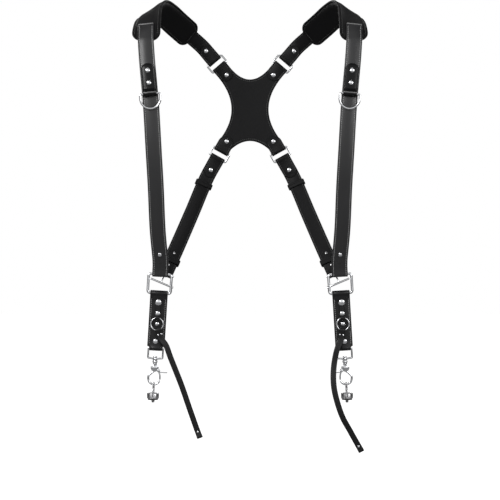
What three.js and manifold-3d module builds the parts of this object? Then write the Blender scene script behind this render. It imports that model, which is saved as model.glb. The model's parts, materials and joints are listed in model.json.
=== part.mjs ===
// Dual camera harness of black leather, in the form it has when worn.
// Two padded shoulder straps run from an X-shaped back yoke over the shoulders to a ring at each hip,
// and a back strap joins each ring to the yoke. A drop tab, a swivel snap hook, a camera screw and a
// safety tether hang from each ring.
// Millimetres, +Z up, the wearer faces -Y. The origin lies midway between the two shoulder tops.
// One side is modelled on +X, and a mirrored group makes the other.

import * as THREE from 'three';
import { mergeVertices } from 'three/addons/utils/BufferGeometryUtils.js';
import Module from 'manifold-3d';

const wasm = await Module();
wasm.setup();

// Clearances
const seatGap = 0.3;          // between pieces that touch on the real object
const slack = 0.3;            // between a bar and the fold round it
const hairline = 0.05;        // by which a fold stands proud of its strap, so that no two faces coincide

// Where the harness lies on the body
const shoulderSpan = 363;     // between the middles of the two pads
const chestReach = 112;       // front straps ahead of the shoulder tops
const backReach = 112;        // yoke behind the shoulder tops
const waistSpan = 332.4;      // between the middles of the waist rings
const waistDrop = 513;        // shoulder tops down to the middle of a waist ring
const waistReach = 45;        // waist rings ahead of the shoulder tops
const hangLean = 3.4;         // degrees that a drop tab leans outward
const waistSlope = 25;        // degrees that a front strap leans forward above its ring

// Straps
const strapWidth = 29;
const strapThick = 2.8;
const frontFlap = 46;         // turned-back end behind the waist ring's bar
const backFlap = 34;          // turned-back end at an upper yoke ring
const lowerFlap = 40;         // turned-back end at a lower yoke ring
const sideFlap = 52;          // turned-back end above the rear strap bar
const sideBow = 7;            // how far a lower back strap bows round the body
const foldClear = 12;         // where a strap's own layer starts, past its fold
const seamInset = 30;         // pad's end to the seam where a strap starts

// Shoulder pads
const padWidth = 52;
const padThick = 9;
const padRim = 4.5;
const padDrop = 72;           // front end of a pad below the shoulder top
const padCorner = 17;
const padFlat = 0.64;         // share of a pad's half width that lies level under a strap

// Bands round the lower back straps
const bandLeather = 2;
const bandLength = 10;
const bandSlack = 0.7;
const upperBandAt = 48;       // from where the strap's own layer starts
const lowerBandAt = 18;       // before where it ends, over the turned-back layer

// Back yoke
const yokeThick = 3;
const armWidth = 30;
const yokeUpperSpan = 128.8;  // between the middles of the upper rings
const yokeLowerSpan = 119;
const yokeUpperDrop = 87.8;   // shoulder tops down to the upper rings
const yokeLowerDrop = 264.5;
const upperArmAngle = 49.5;   // degrees from level
const lowerArmAngle = 61;
const upperValleyDrop = 117.8;
const lowerValleyDrop = 238.2;
const yokeWaist = 72.6;
const armFlap = 30;

// Rings
const yokeRingWidth = 39;
const yokeRingDepth = 21;
const yokeRingWire = 3.5;
const ringCorner = 2.6;
const waistRingWidth = 47;
const waistRingHeight = 40.3;
const waistRingWire = 4.8;
const waistRingCorner = 4.6;
const crossBarWire = 3.5;
const crossBarUp = 2;         // where the post meets the diagonal bar: above the ring's middle
const crossBarIn = 2;         // and towards the body's middle
const sidePost = 21;          // diagonal bar to the rear strap bar
const sidePostWire = 3;
const sideBarLength = 35;

// D-rings
const dRingWidth = 39.8;
const dRingWire = 4;
const dRingSide = 8.6;
const keeperWidth = 24.5;
const keeperThick = 2;
const keeperLength = 56;
const keeperTip = 9;
const keeperDrop = 172;       // shoulder tops down to a D-ring's bar

// Drop tabs
const tabWidth = 32;
const tabThick = 2.8;
const tabLength = 101;        // between the bars at its two ends
const tabNeckWidth = 23.4;
const tabNeckLength = 3;

// Tethers
const tetherRingWidth = 25;
const tetherRingWire = 2.2;
const tetherRingDrop = 56;    // waist ring's lower bar down to the tether ring's middle
const tabKeeperWidth = 9;
const tabKeeperThick = 1.6;
const tabKeeperLength = 31;
const tetherWidth = 10.5;
const tetherThick = 2.6;
const tetherFold = 1.6;       // one layer of the fold at each end
const tetherFlap = 16;
const lugHole = 1.8;
const leftTetherDrop = 195;
const leftTetherSweep = 75;
const rightTetherDrop = 218;
const rightTetherSweep = 36;
const rightTetherBulge = 33;
const leftTetherBulge = 4;

// Swivel snap hooks
const loopWidth = 30.2;
const loopHeight = 21.8;
const loopWire = 3.3;
const loopDip = 1.6;
const bossRadius = 4.2;
const bossHeight = 5;
const stemRadius = 2;
const stemHeadRadius = 3.8;
const stemHeadHeight = 2.4;
const collarRadius = 4.6;
const collarHeight = 4;
const neckLength = 2;
const eyeRadius = 7.2;
const eyeThick = 6;
const eyeCapRadius = 4.2;
const eyeCapHeight = 1;
const hookRadius = 10.7;      // middle of the hook's wire
const hookWire = 3.8;
const hookDrop = 20;          // eye's middle down to the middle of the hook's round
const pinRadius = 1;
const gateEye = 3;
const gateThick = 3.4;
const gateWall = 2.4;
const gateOut = 7.6;          // pivot beside the hook's middle line
const gateUp = 15.1;          // pivot above the middle of the hook's round
const leverReach = 16;
const leverThick = 1.8;
const gateGap = 1.3;          // from a gate's tip to the hook's

// Camera screws
const bailWidth = 37;
const bailReach = 25.5;
const bailWire = 2.4;
const knobRadius = 11;
const knobHeight = 10;
const knobEdge = 0.8;
const washerThick = 1.8;
const washerRadius = 9.6;
const screwRadius = 3.1;
const screwLength = 7.2;

// Rivets
const rivetRadius = 4.6;
const rivetHeight = 2.6;
const studRadius = 4;
const studHeight = 3;
const yokeRivetAt = 20;       // from a bar, as are the next three
const upperRivetAt = 24;
const lowerRivetAt = 26;
const frontStudAt = 41;
const keeperRivets = [20, 43];

// Facets
const wireSides = 6;
const turnSteps = 3;          // steps in a quarter turn of a wire
const roundSides = 12;
const bowSteps = 9;           // steps along the bow of a D-ring
const tetherRingSteps = 16;
const padSpans = 12;
const padSteps = 5;           // places of a strap's path on a pad

const satinLeather = new THREE.MeshStandardMaterial({ color: 0x1b1b1d, roughness: 0.45, metalness: 0 });
const backLeather = new THREE.MeshStandardMaterial({ color: 0x121213, roughness: 0.7, metalness: 0 });
const padLeather = new THREE.MeshStandardMaterial({ color: 0x0e0e0f, roughness: 0.8, metalness: 0 });
const chrome = new THREE.MeshStandardMaterial({ color: 0xd6d8da, roughness: 0.12, metalness: 1 });
const steel = new THREE.MeshStandardMaterial({ color: 0xb9bbbe, roughness: 0.3, metalness: 1 });
const rubber = new THREE.MeshStandardMaterial({ color: 0x0a0a0a, roughness: 0.85, metalness: 0 });

const vec = (x, y, z) => new THREE.Vector3(x, y, z);
const rad = THREE.MathUtils.degToRad;
const lerp = THREE.MathUtils.lerp;

// Turns the faces of a closed mesh outward and makes its geometry.
function closedMesh(positions, faces) {
  let volume = 0;
  const point = (index) => vec(...positions.slice(3 * index, 3 * index + 3));
  for (let f = 0; f < faces.length; f += 3) {
    volume += point(faces[f]).dot(point(faces[f + 1]).cross(point(faces[f + 2])));
  }
  const geometry = new THREE.BufferGeometry();
  geometry.setAttribute('position', new THREE.Float32BufferAttribute(positions, 3));
  geometry.setIndex(volume < 0 ? [...faces].reverse() : faces);
  return geometry;
}

// Skins a row of sections, each with the same number of points, into one closed body.
function loft(sections, endless = false) {
  const count = sections[0].length;
  const positions = sections.flat().flatMap((p) => [p.x, p.y, p.z]);
  const faces = [];
  const spans = endless ? sections.length : sections.length - 1;
  for (let s = 0; s < spans; s += 1) {
    const here = s * count;
    const next = ((s + 1) % sections.length) * count;
    for (let k = 0; k < count; k += 1) {
      const after = (k + 1) % count;
      faces.push(here + k, here + after, next + after);
      faces.push(here + k, next + after, next + k);
    }
  }
  if (!endless) {
    const last = (sections.length - 1) * count;
    for (let k = 1; k < count - 1; k += 1) {
      faces.push(0, k + 1, k);
      faces.push(last, last + k, last + k + 1);
    }
  }
  return closedMesh(positions, faces);
}

// Shared vertices merged, and faces of no area dropped.
function clean(geometry) {
  const bare = new THREE.BufferGeometry();
  bare.setAttribute('position', geometry.getAttribute('position'));
  if (geometry.index) bare.setIndex(geometry.index);
  const merged = mergeVertices(bare, 1e-4);
  const all = [...merged.index.array];
  const faces = [];
  for (let f = 0; f < all.length; f += 3) {
    const [a, b, c] = all.slice(f, f + 3);
    if (a !== b && b !== c && c !== a) faces.push(a, b, c);
  }
  return closedMesh([...merged.getAttribute('position').array], faces);
}

// Joins and cuts
function toSolid(geometry) {
  const whole = clean(geometry);
  return new wasm.Manifold(new wasm.Mesh({
    numProp: 3,
    vertProperties: new Float32Array(whole.getAttribute('position').array),
    triVerts: new Uint32Array(whole.index.array),
  }));
}

function toGeometry(solid) {
  const mesh = solid.getMesh();
  return closedMesh([...mesh.vertProperties], [...mesh.triVerts]);
}

function join(...geometries) {
  return toGeometry(geometries.map(toSolid).reduce((whole, piece) => whole.add(piece)));
}

function cut(geometry, ...tools) {
  return toGeometry(tools.map(toSolid).reduce((whole, tool) => whole.subtract(tool), toSolid(geometry)));
}

// A frame with its X along `x` and its Y as near to `y` as it can be.
function frameAt(at, x, y) {
  const unitX = x.clone().normalize();
  const unitY = y.clone().addScaledVector(unitX, -y.dot(unitX)).normalize();
  const unitZ = unitX.clone().cross(unitY);
  return new THREE.Matrix4().makeBasis(unitX, unitY, unitZ).setPosition(at);
}

const moved = (geometry, matrix) => geometry.clone().applyMatrix4(matrix);
const shifted = (geometry, x, y, z) => geometry.clone().translate(x, y, z);

// Simple bodies
function rod(radius, length, axis, at, sides = roundSides) {
  const geometry = new THREE.CylinderGeometry(radius, radius, length, sides);
  const turn = new THREE.Quaternion().setFromUnitVectors(vec(0, 1, 0), axis.clone().normalize());
  return geometry.applyQuaternion(turn).translate(at.x, at.y, at.z);
}

function bar(width, depth, height, at) {
  return new THREE.BoxGeometry(width, depth, height).translate(at.x, at.y, at.z);
}

// A turned body: rows of radius and height, from the axis back to the axis, about Z.
function turned(rows, sides = roundSides) {
  const profile = rows.map((row) => new THREE.Vector2(row.radius, row.up));
  return clean(new THREE.LatheGeometry(profile, sides).rotateX(Math.PI / 2));
}

// Points of a rounded rectangle in the XY plane.
function roundedRectangle(width, height, corner) {
  const points = [];
  [[1, 1], [-1, 1], [-1, -1], [1, -1]].forEach(([x, y], i) => {
    for (let k = 0; k <= turnSteps; k += 1) {
      const angle = (Math.PI / 2) * (i + k / turnSteps);
      points.push(vec(
        x * (width / 2 - corner) + corner * Math.cos(angle),
        y * (height / 2 - corner) + corner * Math.sin(angle),
        0,
      ));
    }
  });
  return points;
}

// A round wire along points of the XY plane.
function wire(points, diameter, endless = true, sides = wireSides) {
  const last = points.length - 1;
  const sections = points.map((point, i) => {
    const before = endless ? points[(i + last) % points.length] : points[Math.max(i - 1, 0)];
    const after = endless ? points[(i + 1) % points.length] : points[Math.min(i + 1, last)];
    const side = after.clone().sub(before).normalize().cross(vec(0, 0, 1));
    return Array.from({ length: sides }, (_, k) => {
      const angle = (2 * Math.PI * (k + 0.5)) / sides;
      return point.clone()
        .addScaledVector(side, (Math.cos(angle) * diameter) / 2)
        .add(vec(0, 0, (Math.sin(angle) * diameter) / 2));
    });
  });
  return loft(sections, endless);
}

// The path of a strap, front to back over the shoulder: its place, the way along, the way across
// towards the neck, and the outward face. lift is how far the way across rises, in degrees.
function strapPath(rows) {
  const line = new THREE.CatmullRomCurve3(rows.map((row) => row.at), false, 'centripetal');
  const length = line.getLength();
  const stationAt = (t) => {
    const at = line.getPoint(t);
    const along = line.getTangent(t);
    const place = t * (rows.length - 1);
    const i = Math.min(Math.floor(place), rows.length - 2);
    const lift = rad(lerp(rows[i].lift, rows[i + 1].lift, place - i));
    const across = vec(-Math.cos(lift), 0, Math.sin(lift));
    across.addScaledVector(along, -across.dot(along)).normalize();
    return { at, along, across, face: along.clone().cross(across).normalize() };
  };
  return { length, stationAt, atDistance: (d) => stationAt(line.getUtoTmapping(0, d)) };
}

// Even steps from one distance to another.
const spaced = (from, to, steps) => Array.from({ length: steps + 1 }, (_, k) => lerp(from, to, k / steps));

// Sections of a flat strap at the given distances along a path, lifted off it by `level`.
function strapSections(path, distances, widthAt, thick, level = 0) {
  return distances.map((distance) => {
    const { at, across, face } = path.atDistance(distance);
    const half = widthAt(distance) / 2;
    const middle = at.clone().addScaledVector(face, level);
    return [[-1, -1], [1, -1], [1, 1], [-1, 1]].map(([side, skin]) => middle.clone()
      .addScaledVector(across, side * (half - hairline))
      .addScaledVector(face, skin * (thick / 2 - hairline)));
  });
}

const ribbon = (...sizes) => loft(strapSections(...sizes));

// A strap end folded round a bar on the local Z axis. The strap leaves along +X: its own layer, on
// the +Y side, as far as main, and the turned-back layer, on the -Y side, as far as flap.
function foldedEnd({ hole, leather, main, flap, width }) {
  const outer = hole + leather;
  const runOut = 2.2 * outer;
  const shape = new THREE.Shape();
  shape.moveTo(main, leather);
  shape.lineTo(runOut, leather);
  shape.absarc(0, 0, outer, rad(45), rad(315), false);
  shape.lineTo(runOut, -leather);
  shape.lineTo(flap, -leather);
  if (flap !== main) {
    shape.lineTo(flap, 3 * hairline);
    shape.lineTo(main, 3 * hairline);
  }
  shape.closePath();
  const opening = new THREE.Path();
  opening.absarc(0, 0, hole, rad(60), rad(300), false);
  opening.lineTo(1.9 * hole, 0);
  opening.closePath();
  shape.holes.push(opening);
  const body = new THREE.ExtrudeGeometry(shape, { depth: width, bevelEnabled: false, curveSegments: 4 });
  return body.translate(0, 0, -width / 2);
}

// Places that several pieces share
const halfSpan = shoulderSpan / 2;
const ringHalf = (yokeRingDepth - yokeRingWire) / 2;
const ringHole = yokeRingWire / 2 + slack;
const outward = vec(0, 1, 0);
const upperPull = vec(Math.cos(rad(upperArmAngle)), 0, Math.sin(rad(upperArmAngle)));
const lowerPull = vec(Math.cos(rad(lowerArmAngle)), 0, -Math.sin(rad(lowerArmAngle)));
const upperRing = vec(yokeUpperSpan / 2, backReach, -yokeUpperDrop);
const lowerRing = vec(yokeLowerSpan / 2, backReach, -yokeLowerDrop);
const waistRing = vec(waistSpan / 2, -waistReach, -waistDrop);
const onBar = (ring, pull, distance) => ring.clone().addScaledVector(pull, distance);

// The line that a pad's middle follows, front end to back end. out is a share of half the shoulder
// span, behind of the chest or back reach, down of the pad's drop, and lift is in degrees.
const padRows = [
  { out: 1.037, behind: -0.78, down: 1.00, lift: 2 },
  { out: 1.036, behind: -0.68, down: 0.68, lift: 13 },
  { out: 1.028, behind: -0.47, down: 0.35, lift: 25 },
  { out: 1.005, behind: -0.23, down: 0.13, lift: 34 },
  { out: 0.945, behind: 0.00, down: 0.03, lift: 38 },
  { out: 0.860, behind: 0.25, down: 0.11, lift: 43 },
  { out: 0.765, behind: 0.49, down: 0.285, lift: 46 },
  { out: 0.616, behind: 0.79, down: 0.56, lift: 46 },
];
const padPath = strapPath(padRows.map(({ out, behind, down, lift }) => ({
  at: vec(out * halfSpan, behind * (behind < 0 ? chestReach : backReach), -down * padDrop),
  lift,
})));

// The pad is a crowned body: thin at its rim, with round corners, and full along its middle.
function shoulderPad() {
  const corner = [0, 30, 60, 90].map((angle) => ({
    inset: padCorner * (1 - Math.cos(rad(angle))),
    swell: Math.sin(rad(angle)),
  }));
  const stations = [...corner.map(({ inset, swell }) => ({ distance: inset, swell }))];
  for (let k = 1; k < padSpans; k += 1) {
    stations.push({ distance: lerp(padCorner, padPath.length - padCorner, k / padSpans), swell: 1 });
  }
  for (const { inset, swell } of corner.toReversed()) {
    stations.push({ distance: padPath.length - inset, swell });
  }
  return loft(stations.map(({ distance, swell }) => {
    const { at, across, face } = padPath.atDistance(distance);
    const side = padWidth / 2 - padCorner * (1 - swell);
    const flat = padFlat * side;
    const crown = lerp(padRim, padThick, swell) / 2;
    const rim = padRim / 2;
    const outline = [
      [-side, -rim], [-flat, -crown], [flat, -crown], [side, -rim],
      [side, rim], [flat, crown], [-flat, crown], [-side, rim],
    ];
    return outline.map(([sideways, level]) => at.clone()
      .addScaledVector(across, sideways)
      .addScaledVector(face, level));
  }));
}

// A strap's middle layer where it lies on the pad.
const padStand = padThick / 2 + seatGap + strapThick / 2;

function onPad(distance) {
  const { at, face } = padPath.atDistance(distance);
  return at.clone().addScaledVector(face, padStand);
}

const seamShares = Array.from({ length: padSteps + 1 }, (_, k) => k / padSteps);
const liftOnPad = (distance) => {
  const { across } = padPath.atDistance(distance);
  return THREE.MathUtils.radToDeg(Math.atan2(across.z, -across.x));
};

// Bars that the straps fold round, as frames: X leaves the bar into the strap, Y is the outward face
const frontFace = vec(0, -1, 0);
const hangTurn = new THREE.Matrix4().makeRotationY(-rad(hangLean)).setPosition(waistRing);
const inHang = (x, y, z) => vec(x, y, z).applyMatrix4(hangTurn);
const waistHalf = (waistRingHeight - waistRingWire) / 2;
const ringUp = vec(0, 0, 1).transformDirection(hangTurn);
const frontAway = ringUp.clone().multiplyScalar(Math.cos(rad(waistSlope)))
  .addScaledVector(frontFace, Math.sin(rad(waistSlope)));
const waistBar = frameAt(inHang(0, 0, waistHalf), frontAway, frontFace);
const upperStrapBar = frameAt(onBar(upperRing, upperPull, ringHalf), upperPull, outward);
const lowerStrapBar = frameAt(onBar(lowerRing, lowerPull, ringHalf), lowerPull, outward);
const upperArmBar = frameAt(onBar(upperRing, upperPull, -ringHalf), upperPull.clone().negate(), outward);
const lowerArmBar = frameAt(onBar(lowerRing, lowerPull, -ringHalf), lowerPull.clone().negate(), outward);
const postFoot = inHang(-crossBarIn, 0, crossBarUp);
const sidePull = onBar(lowerRing, lowerPull, ringHalf).sub(postFoot).normalize();
const rearBar = frameAt(onBar(postFoot, sidePull, sidePost), sidePull, outward);
const sideLift = THREE.MathUtils.radToDeg(Math.atan2(sidePull.x, sidePull.z));
const fromBar = (frame, distance) => vec(distance, strapThick / 2, 0).applyMatrix4(frame);

// Front strap, from the waist ring up to its seam on the pad. out runs from the waist ring (0) to
// the pad's middle (1), ahead is a share of the chest reach and down of the waist's drop.
const chestRows = [
  { out: 0.08, ahead: 0.74, down: 0.806 },
  { out: 0.22, ahead: 0.91, down: 0.655 },
  { out: 0.43, ahead: 0.985, down: 0.530 },
  { out: 0.70, ahead: 1.000, down: 0.385 },
  { out: 0.95, ahead: 0.970, down: 0.300 },
  { out: 1.24, ahead: 0.905, down: 0.215 },
];
const frontPath = strapPath([
  { at: fromBar(waistBar, foldClear), lift: -hangLean },
  { at: fromBar(waistBar, frontFlap / 2), lift: -hangLean },
  ...chestRows.map(({ out, ahead, down }) => ({
    at: vec(lerp(waistSpan / 2, halfSpan, out), -ahead * chestReach, -down * waistDrop),
    lift: 0,
  })),
  ...seamShares.map((share) => ({ at: onPad(share * seamInset), lift: liftOnPad(share * seamInset) })),
]);

// Upper back strap, from its seam on the pad down to the upper ring.
const padEnd = padPath.length - seamInset;
const upperPath = strapPath([
  ...seamShares.map((share) => padEnd + share * seamInset)
    .map((distance) => ({ at: onPad(distance), lift: liftOnPad(distance) })),
  { at: fromBar(upperStrapBar, backFlap), lift: 90 - upperArmAngle },
  { at: fromBar(upperStrapBar, foldClear), lift: 90 - upperArmAngle },
]);

// Lower back strap, from the lower ring down to the rear strap bar.
const besideRing = fromBar(lowerStrapBar, lowerFlap);
const besideHip = fromBar(rearBar, sideFlap);
const bodySide = besideRing.clone().lerp(besideHip, 0.5).addScaledVector(outward, sideBow);
const lowerPath = strapPath([
  { at: fromBar(lowerStrapBar, foldClear), lift: lowerArmAngle - 90 },
  { at: besideRing, lift: lowerArmAngle - 90 },
  { at: bodySide, lift: (lowerArmAngle - 90 + sideLift) / 2 },
  { at: besideHip, lift: sideLift },
  { at: fromBar(rearBar, foldClear), lift: sideLift },
]);

const even = (width) => () => width;
const padSections = (distances) => strapSections(padPath, distances, even(strapWidth), strapThick, padStand);
const strapFold = (wireWidth, flap) => foldedEnd({
  hole: wireWidth / 2 + slack, leather: strapThick, main: foldClear + 1, flap, width: strapWidth,
});

function frontStrap() {
  return join(
    loft([
      ...strapSections(frontPath, spaced(0, frontPath.length - 1.3 * seamInset, 18), even(strapWidth), strapThick),
      ...padSections(spaced(0, seamInset, 7)),
    ]),
    moved(strapFold(waistRingWire, frontFlap), waistBar),
  );
}

function upperBackStrap() {
  return join(
    loft([
      ...padSections(spaced(padPath.length - seamInset, padPath.length, 7)),
      ...strapSections(upperPath, spaced(1.2 * seamInset, upperPath.length, 6), even(strapWidth), strapThick),
    ]),
    moved(strapFold(yokeRingWire, backFlap), upperStrapBar),
  );
}

function lowerBackStrap() {
  const postHole = rod(sidePostWire / 2 + slack, sidePost, vec(1, 0, 0), vec(-sidePost / 2, 0, 0), 8);
  return join(
    ribbon(lowerPath, spaced(0, lowerPath.length, 14), even(strapWidth), strapThick),
    moved(strapFold(yokeRingWire, lowerFlap), lowerStrapBar),
    moved(cut(strapFold(crossBarWire, sideFlap), postHole), rearBar),
  );
}

// A leather band round the lower back strap.
function strapBand(layers) {
  const innerX = strapWidth / 2 + bandSlack;
  const innerY = (layers * strapThick) / 2 + bandSlack;
  const around = (x, y) => [[-x, -y], [x, -y], [x, y], [-x, y]].map(([a, b]) => new THREE.Vector2(a, b));
  const shape = new THREE.Shape(around(innerX + bandLeather, innerY + bandLeather));
  shape.holes.push(new THREE.Path(around(innerX, innerY)));
  const body = new THREE.ExtrudeGeometry(shape, { depth: bandLength, bevelEnabled: false });
  return body.translate(0, 0, -bandLength / 2);
}

function bandPlace(distance, level) {
  const { at, along, across, face } = lowerPath.atDistance(distance);
  const middle = at.clone().addScaledVector(face, level);
  return new THREE.Matrix4().makeBasis(across, face, across.clone().cross(face)).setPosition(middle);
}

// The yoke: a flat X whose arms fold round the inner bars of its four rings.
function backYoke() {
  const hole = ringHole;
  const start = 2.2 * (hole + yokeThick);
  const half = armWidth / 2 - hairline;
  const armEnd = (frame) => [1, -1].map((side) => vec(start, 0, side * half).applyMatrix4(frame));
  const [upperA, upperB] = armEnd(upperArmBar);
  const [lowerA, lowerB] = armEnd(lowerArmBar);
  const [upperIn, upperOut] = upperA.x < upperB.x ? [upperA, upperB] : [upperB, upperA];
  const [lowerIn, lowerOut] = lowerA.x < lowerB.x ? [lowerA, lowerB] : [lowerB, lowerA];
  const flat = (p, mirror = 1) => new THREE.Vector2(mirror * p.x, p.z);
  const through = (middle, from, to) => middle.clone().multiplyScalar(2)
    .addScaledVector(from, -0.5).addScaledVector(to, -0.5);
  const corners = [
    { from: flat(upperIn, -1), to: flat(upperIn), middle: new THREE.Vector2(0, -upperValleyDrop) },
    { from: flat(upperOut), to: flat(lowerOut) },
    { from: flat(lowerIn), to: flat(lowerIn, -1), middle: new THREE.Vector2(0, -lowerValleyDrop) },
    { from: flat(lowerOut, -1), to: flat(upperOut, -1) },
  ];
  const shape = new THREE.Shape();
  corners.forEach(({ from, to, middle }, i) => {
    const waist = new THREE.Vector2((Math.sign(from.x) * yokeWaist) / 2, (from.y + to.y) / 2);
    const bend = through(middle ?? waist, from, to);
    if (i === 0) shape.moveTo(from.x, from.y);
    else shape.lineTo(from.x, from.y);
    shape.quadraticCurveTo(bend.x, bend.y, to.x, to.y);
  });
  shape.closePath();
  const depth = yokeThick - 2 * hairline;
  const plate = new THREE.ExtrudeGeometry(shape, { depth, bevelEnabled: false, curveSegments: 8 })
    .rotateX(Math.PI / 2).translate(0, backReach + yokeThick - hairline, 0);
  const arm = foldedEnd({ hole, leather: yokeThick, main: start + 1, flap: armFlap, width: armWidth });
  const arms = [upperArmBar, lowerArmBar].flatMap((frame) => {
    const right = moved(arm, frame);
    const left = right.clone().scale(-1, 1, 1);
    return [right, clean(left)];
  });
  return join(plate, ...arms);
}

// Rings
function yokeRing(at, pull) {
  const points = roundedRectangle(yokeRingWidth - yokeRingWire, 2 * ringHalf, ringCorner);
  return moved(wire(points, yokeRingWire), frameAt(at, vec(pull.z, 0, -pull.x), pull));
}

function waistRingBody() {
  const width = waistRingWidth - waistRingWire;
  const upright = new THREE.Matrix4().makeRotationX(Math.PI / 2);
  const loop = moved(wire(roundedRectangle(width, 2 * waistHalf, waistRingCorner), waistRingWire), upright);
  const toHang = hangTurn.clone().invert();
  const barWay = vec(0, 0, 1).transformDirection(rearBar).transformDirection(toHang);
  const foot = vec(-crossBarIn, 0, crossBarUp);
  const across = rod(crossBarWire / 2, width / Math.abs(barWay.x), barWay,
    foot.clone().addScaledVector(barWay, -foot.x / barWay.x), wireSides + 2);
  const postWay = sidePull.clone().transformDirection(toHang);
  const post = rod(sidePostWire / 2, sidePost, postWay, foot.clone().addScaledVector(postWay, sidePost / 2), 8);
  const rear = rod(crossBarWire / 2, sideBarLength, barWay, foot.clone().addScaledVector(postWay, sidePost), 8);
  return join(loop, across, post, rear);
}

// A D-shaped wire in the XY plane: its bar along X through the origin, its bow towards -Y.
function dWire(width, diameter, side) {
  const half = (width - diameter) / 2;
  const corner = 0.75 * diameter;
  const points = [];
  for (let k = 0; k <= 2; k += 1) {
    const angle = rad(90 - 45 * k);
    points.push(vec(half - corner + corner * Math.cos(angle), corner * (Math.sin(angle) - 1), 0));
  }
  for (let k = 0; k <= bowSteps; k += 1) {
    const angle = Math.PI * (k / bowSteps);
    points.push(vec(half * Math.cos(angle), -side - half * Math.sin(angle), 0));
  }
  for (let k = 0; k <= 2; k += 1) {
    const angle = rad(180 - 45 * k);
    points.push(vec(-half + corner + corner * Math.cos(angle), corner * (Math.sin(angle) - 1), 0));
  }
  return wire(points, diameter);
}

// A fold that holds a bar above the face that it is seated on: the bar lies on the local Z axis, the
// face is at -Y, and the two layers leave along +X.
function seatedFold({ hole, leather, length, width }) {
  const outer = hole + leather;
  const shape = new THREE.Shape();
  shape.moveTo(length, -outer);
  shape.lineTo(length, 2 * leather - outer);
  shape.lineTo(1.8 * outer, 2 * leather - outer);
  shape.absarc(0, 0, outer, rad(40), rad(270), false);
  shape.closePath();
  const opening = new THREE.Path();
  opening.absarc(0, 0, hole, 0, 2 * Math.PI, false);
  shape.holes.push(opening);
  const body = new THREE.ExtrudeGeometry(shape, { depth: width, bevelEnabled: false, curveSegments: 4 });
  return body.translate(0, 0, -width / 2);
}

// Keeper and D-ring on a front strap
function distanceAtDrop(path, drop) {
  let low = 0;
  let high = path.length;
  for (let k = 0; k < 40; k += 1) {
    const middle = (low + high) / 2;
    if (path.atDistance(middle).at.z < -drop) low = middle;
    else high = middle;
  }
  return low;
}

const keeperAt = distanceAtDrop(frontPath, keeperDrop);
const keeperStation = frontPath.atDistance(keeperAt);
const dRingHole = dRingWire / 2 + slack;
const keeperStand = strapThick / 2 + seatGap + dRingHole + keeperThick;
const dRingBar = keeperStation.at.clone().addScaledVector(keeperStation.face, keeperStand);

function ringKeeper() {
  const end = keeperAt + keeperLength;
  const widthAt = (distance) => {
    const past = Math.max(distance - end + keeperTip, 0) / keeperTip;
    return keeperWidth * Math.sqrt(1 - 0.9 * past * past);
  };
  const distances = [...spaced(keeperAt + 4, end - keeperTip, 6), ...spaced(end - 0.7 * keeperTip, end, 3)];
  const layers = ribbon(frontPath, distances, widthAt, 2 * keeperThick, strapThick / 2 + seatGap + keeperThick);
  const fold = seatedFold({ hole: dRingHole, leather: keeperThick, length: 9, width: keeperWidth });
  return join(layers, moved(fold, frameAt(dRingBar, keeperStation.along, keeperStation.face)));
}

function dRing() {
  return moved(dWire(dRingWidth, dRingWire, dRingSide), frameAt(dRingBar, keeperStation.across, vec(0, 0, 1)));
}

// Drop tab, in the frame of its waist ring
const tabTop = -waistHalf;
const tabFoot = tabTop - tabLength;
const down = vec(0, 0, -1);
const up = vec(0, 0, 1);

function dropTab() {
  const upper = foldedEnd({
    hole: waistRingWire / 2 + slack,
    leather: tabThick,
    main: tabLength - tabNeckLength,
    flap: tabLength - tabNeckLength,
    width: tabWidth,
  });
  const lower = foldedEnd({
    hole: loopWire / 2 + slack,
    leather: tabThick - hairline,
    main: 5 * tabThick,
    flap: 5 * tabThick,
    width: tabNeckWidth,
  });
  return join(
    moved(upper, frameAt(vec(0, 0, tabTop), down, frontFace)),
    moved(lower, frameAt(vec(0, 0, tabFoot), up, frontFace)),
  );
}

// Tether ring and its keeper. The folds are straight, so their holes leave room for the ring's curve.
const tetherRingHalf = (tetherRingWidth - tetherRingWire) / 2;
const ringSag = tetherRingHalf - Math.sqrt(tetherRingHalf ** 2 - (tetherWidth / 2) ** 2);
const facetSag = tetherRingHalf * (1 - Math.cos(Math.PI / tetherRingSteps));
const tetherHole = tetherRingWire / 2 + slack + ringSag + facetSag;
const tetherRingAt = vec(0, -(tabThick + seatGap + tetherHole + tetherFold), tabTop - tetherRingDrop);

function tetherRing() {
  const points = Array.from({ length: tetherRingSteps }, (_, k) => {
    const angle = (2 * Math.PI * k) / tetherRingSteps;
    return vec(tetherRingHalf * Math.cos(angle), tetherRingHalf * Math.sin(angle), 0);
  });
  return wire(points, tetherRingWire);
}

function tetherKeeper() {
  const fold = seatedFold({
    hole: tetherHole, leather: tabKeeperThick, length: tabKeeperLength, width: tabKeeperWidth,
  });
  return moved(fold, frameAt(tetherRingAt.clone().add(vec(0, 0, tetherRingHalf)), up, frontFace));
}

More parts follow.
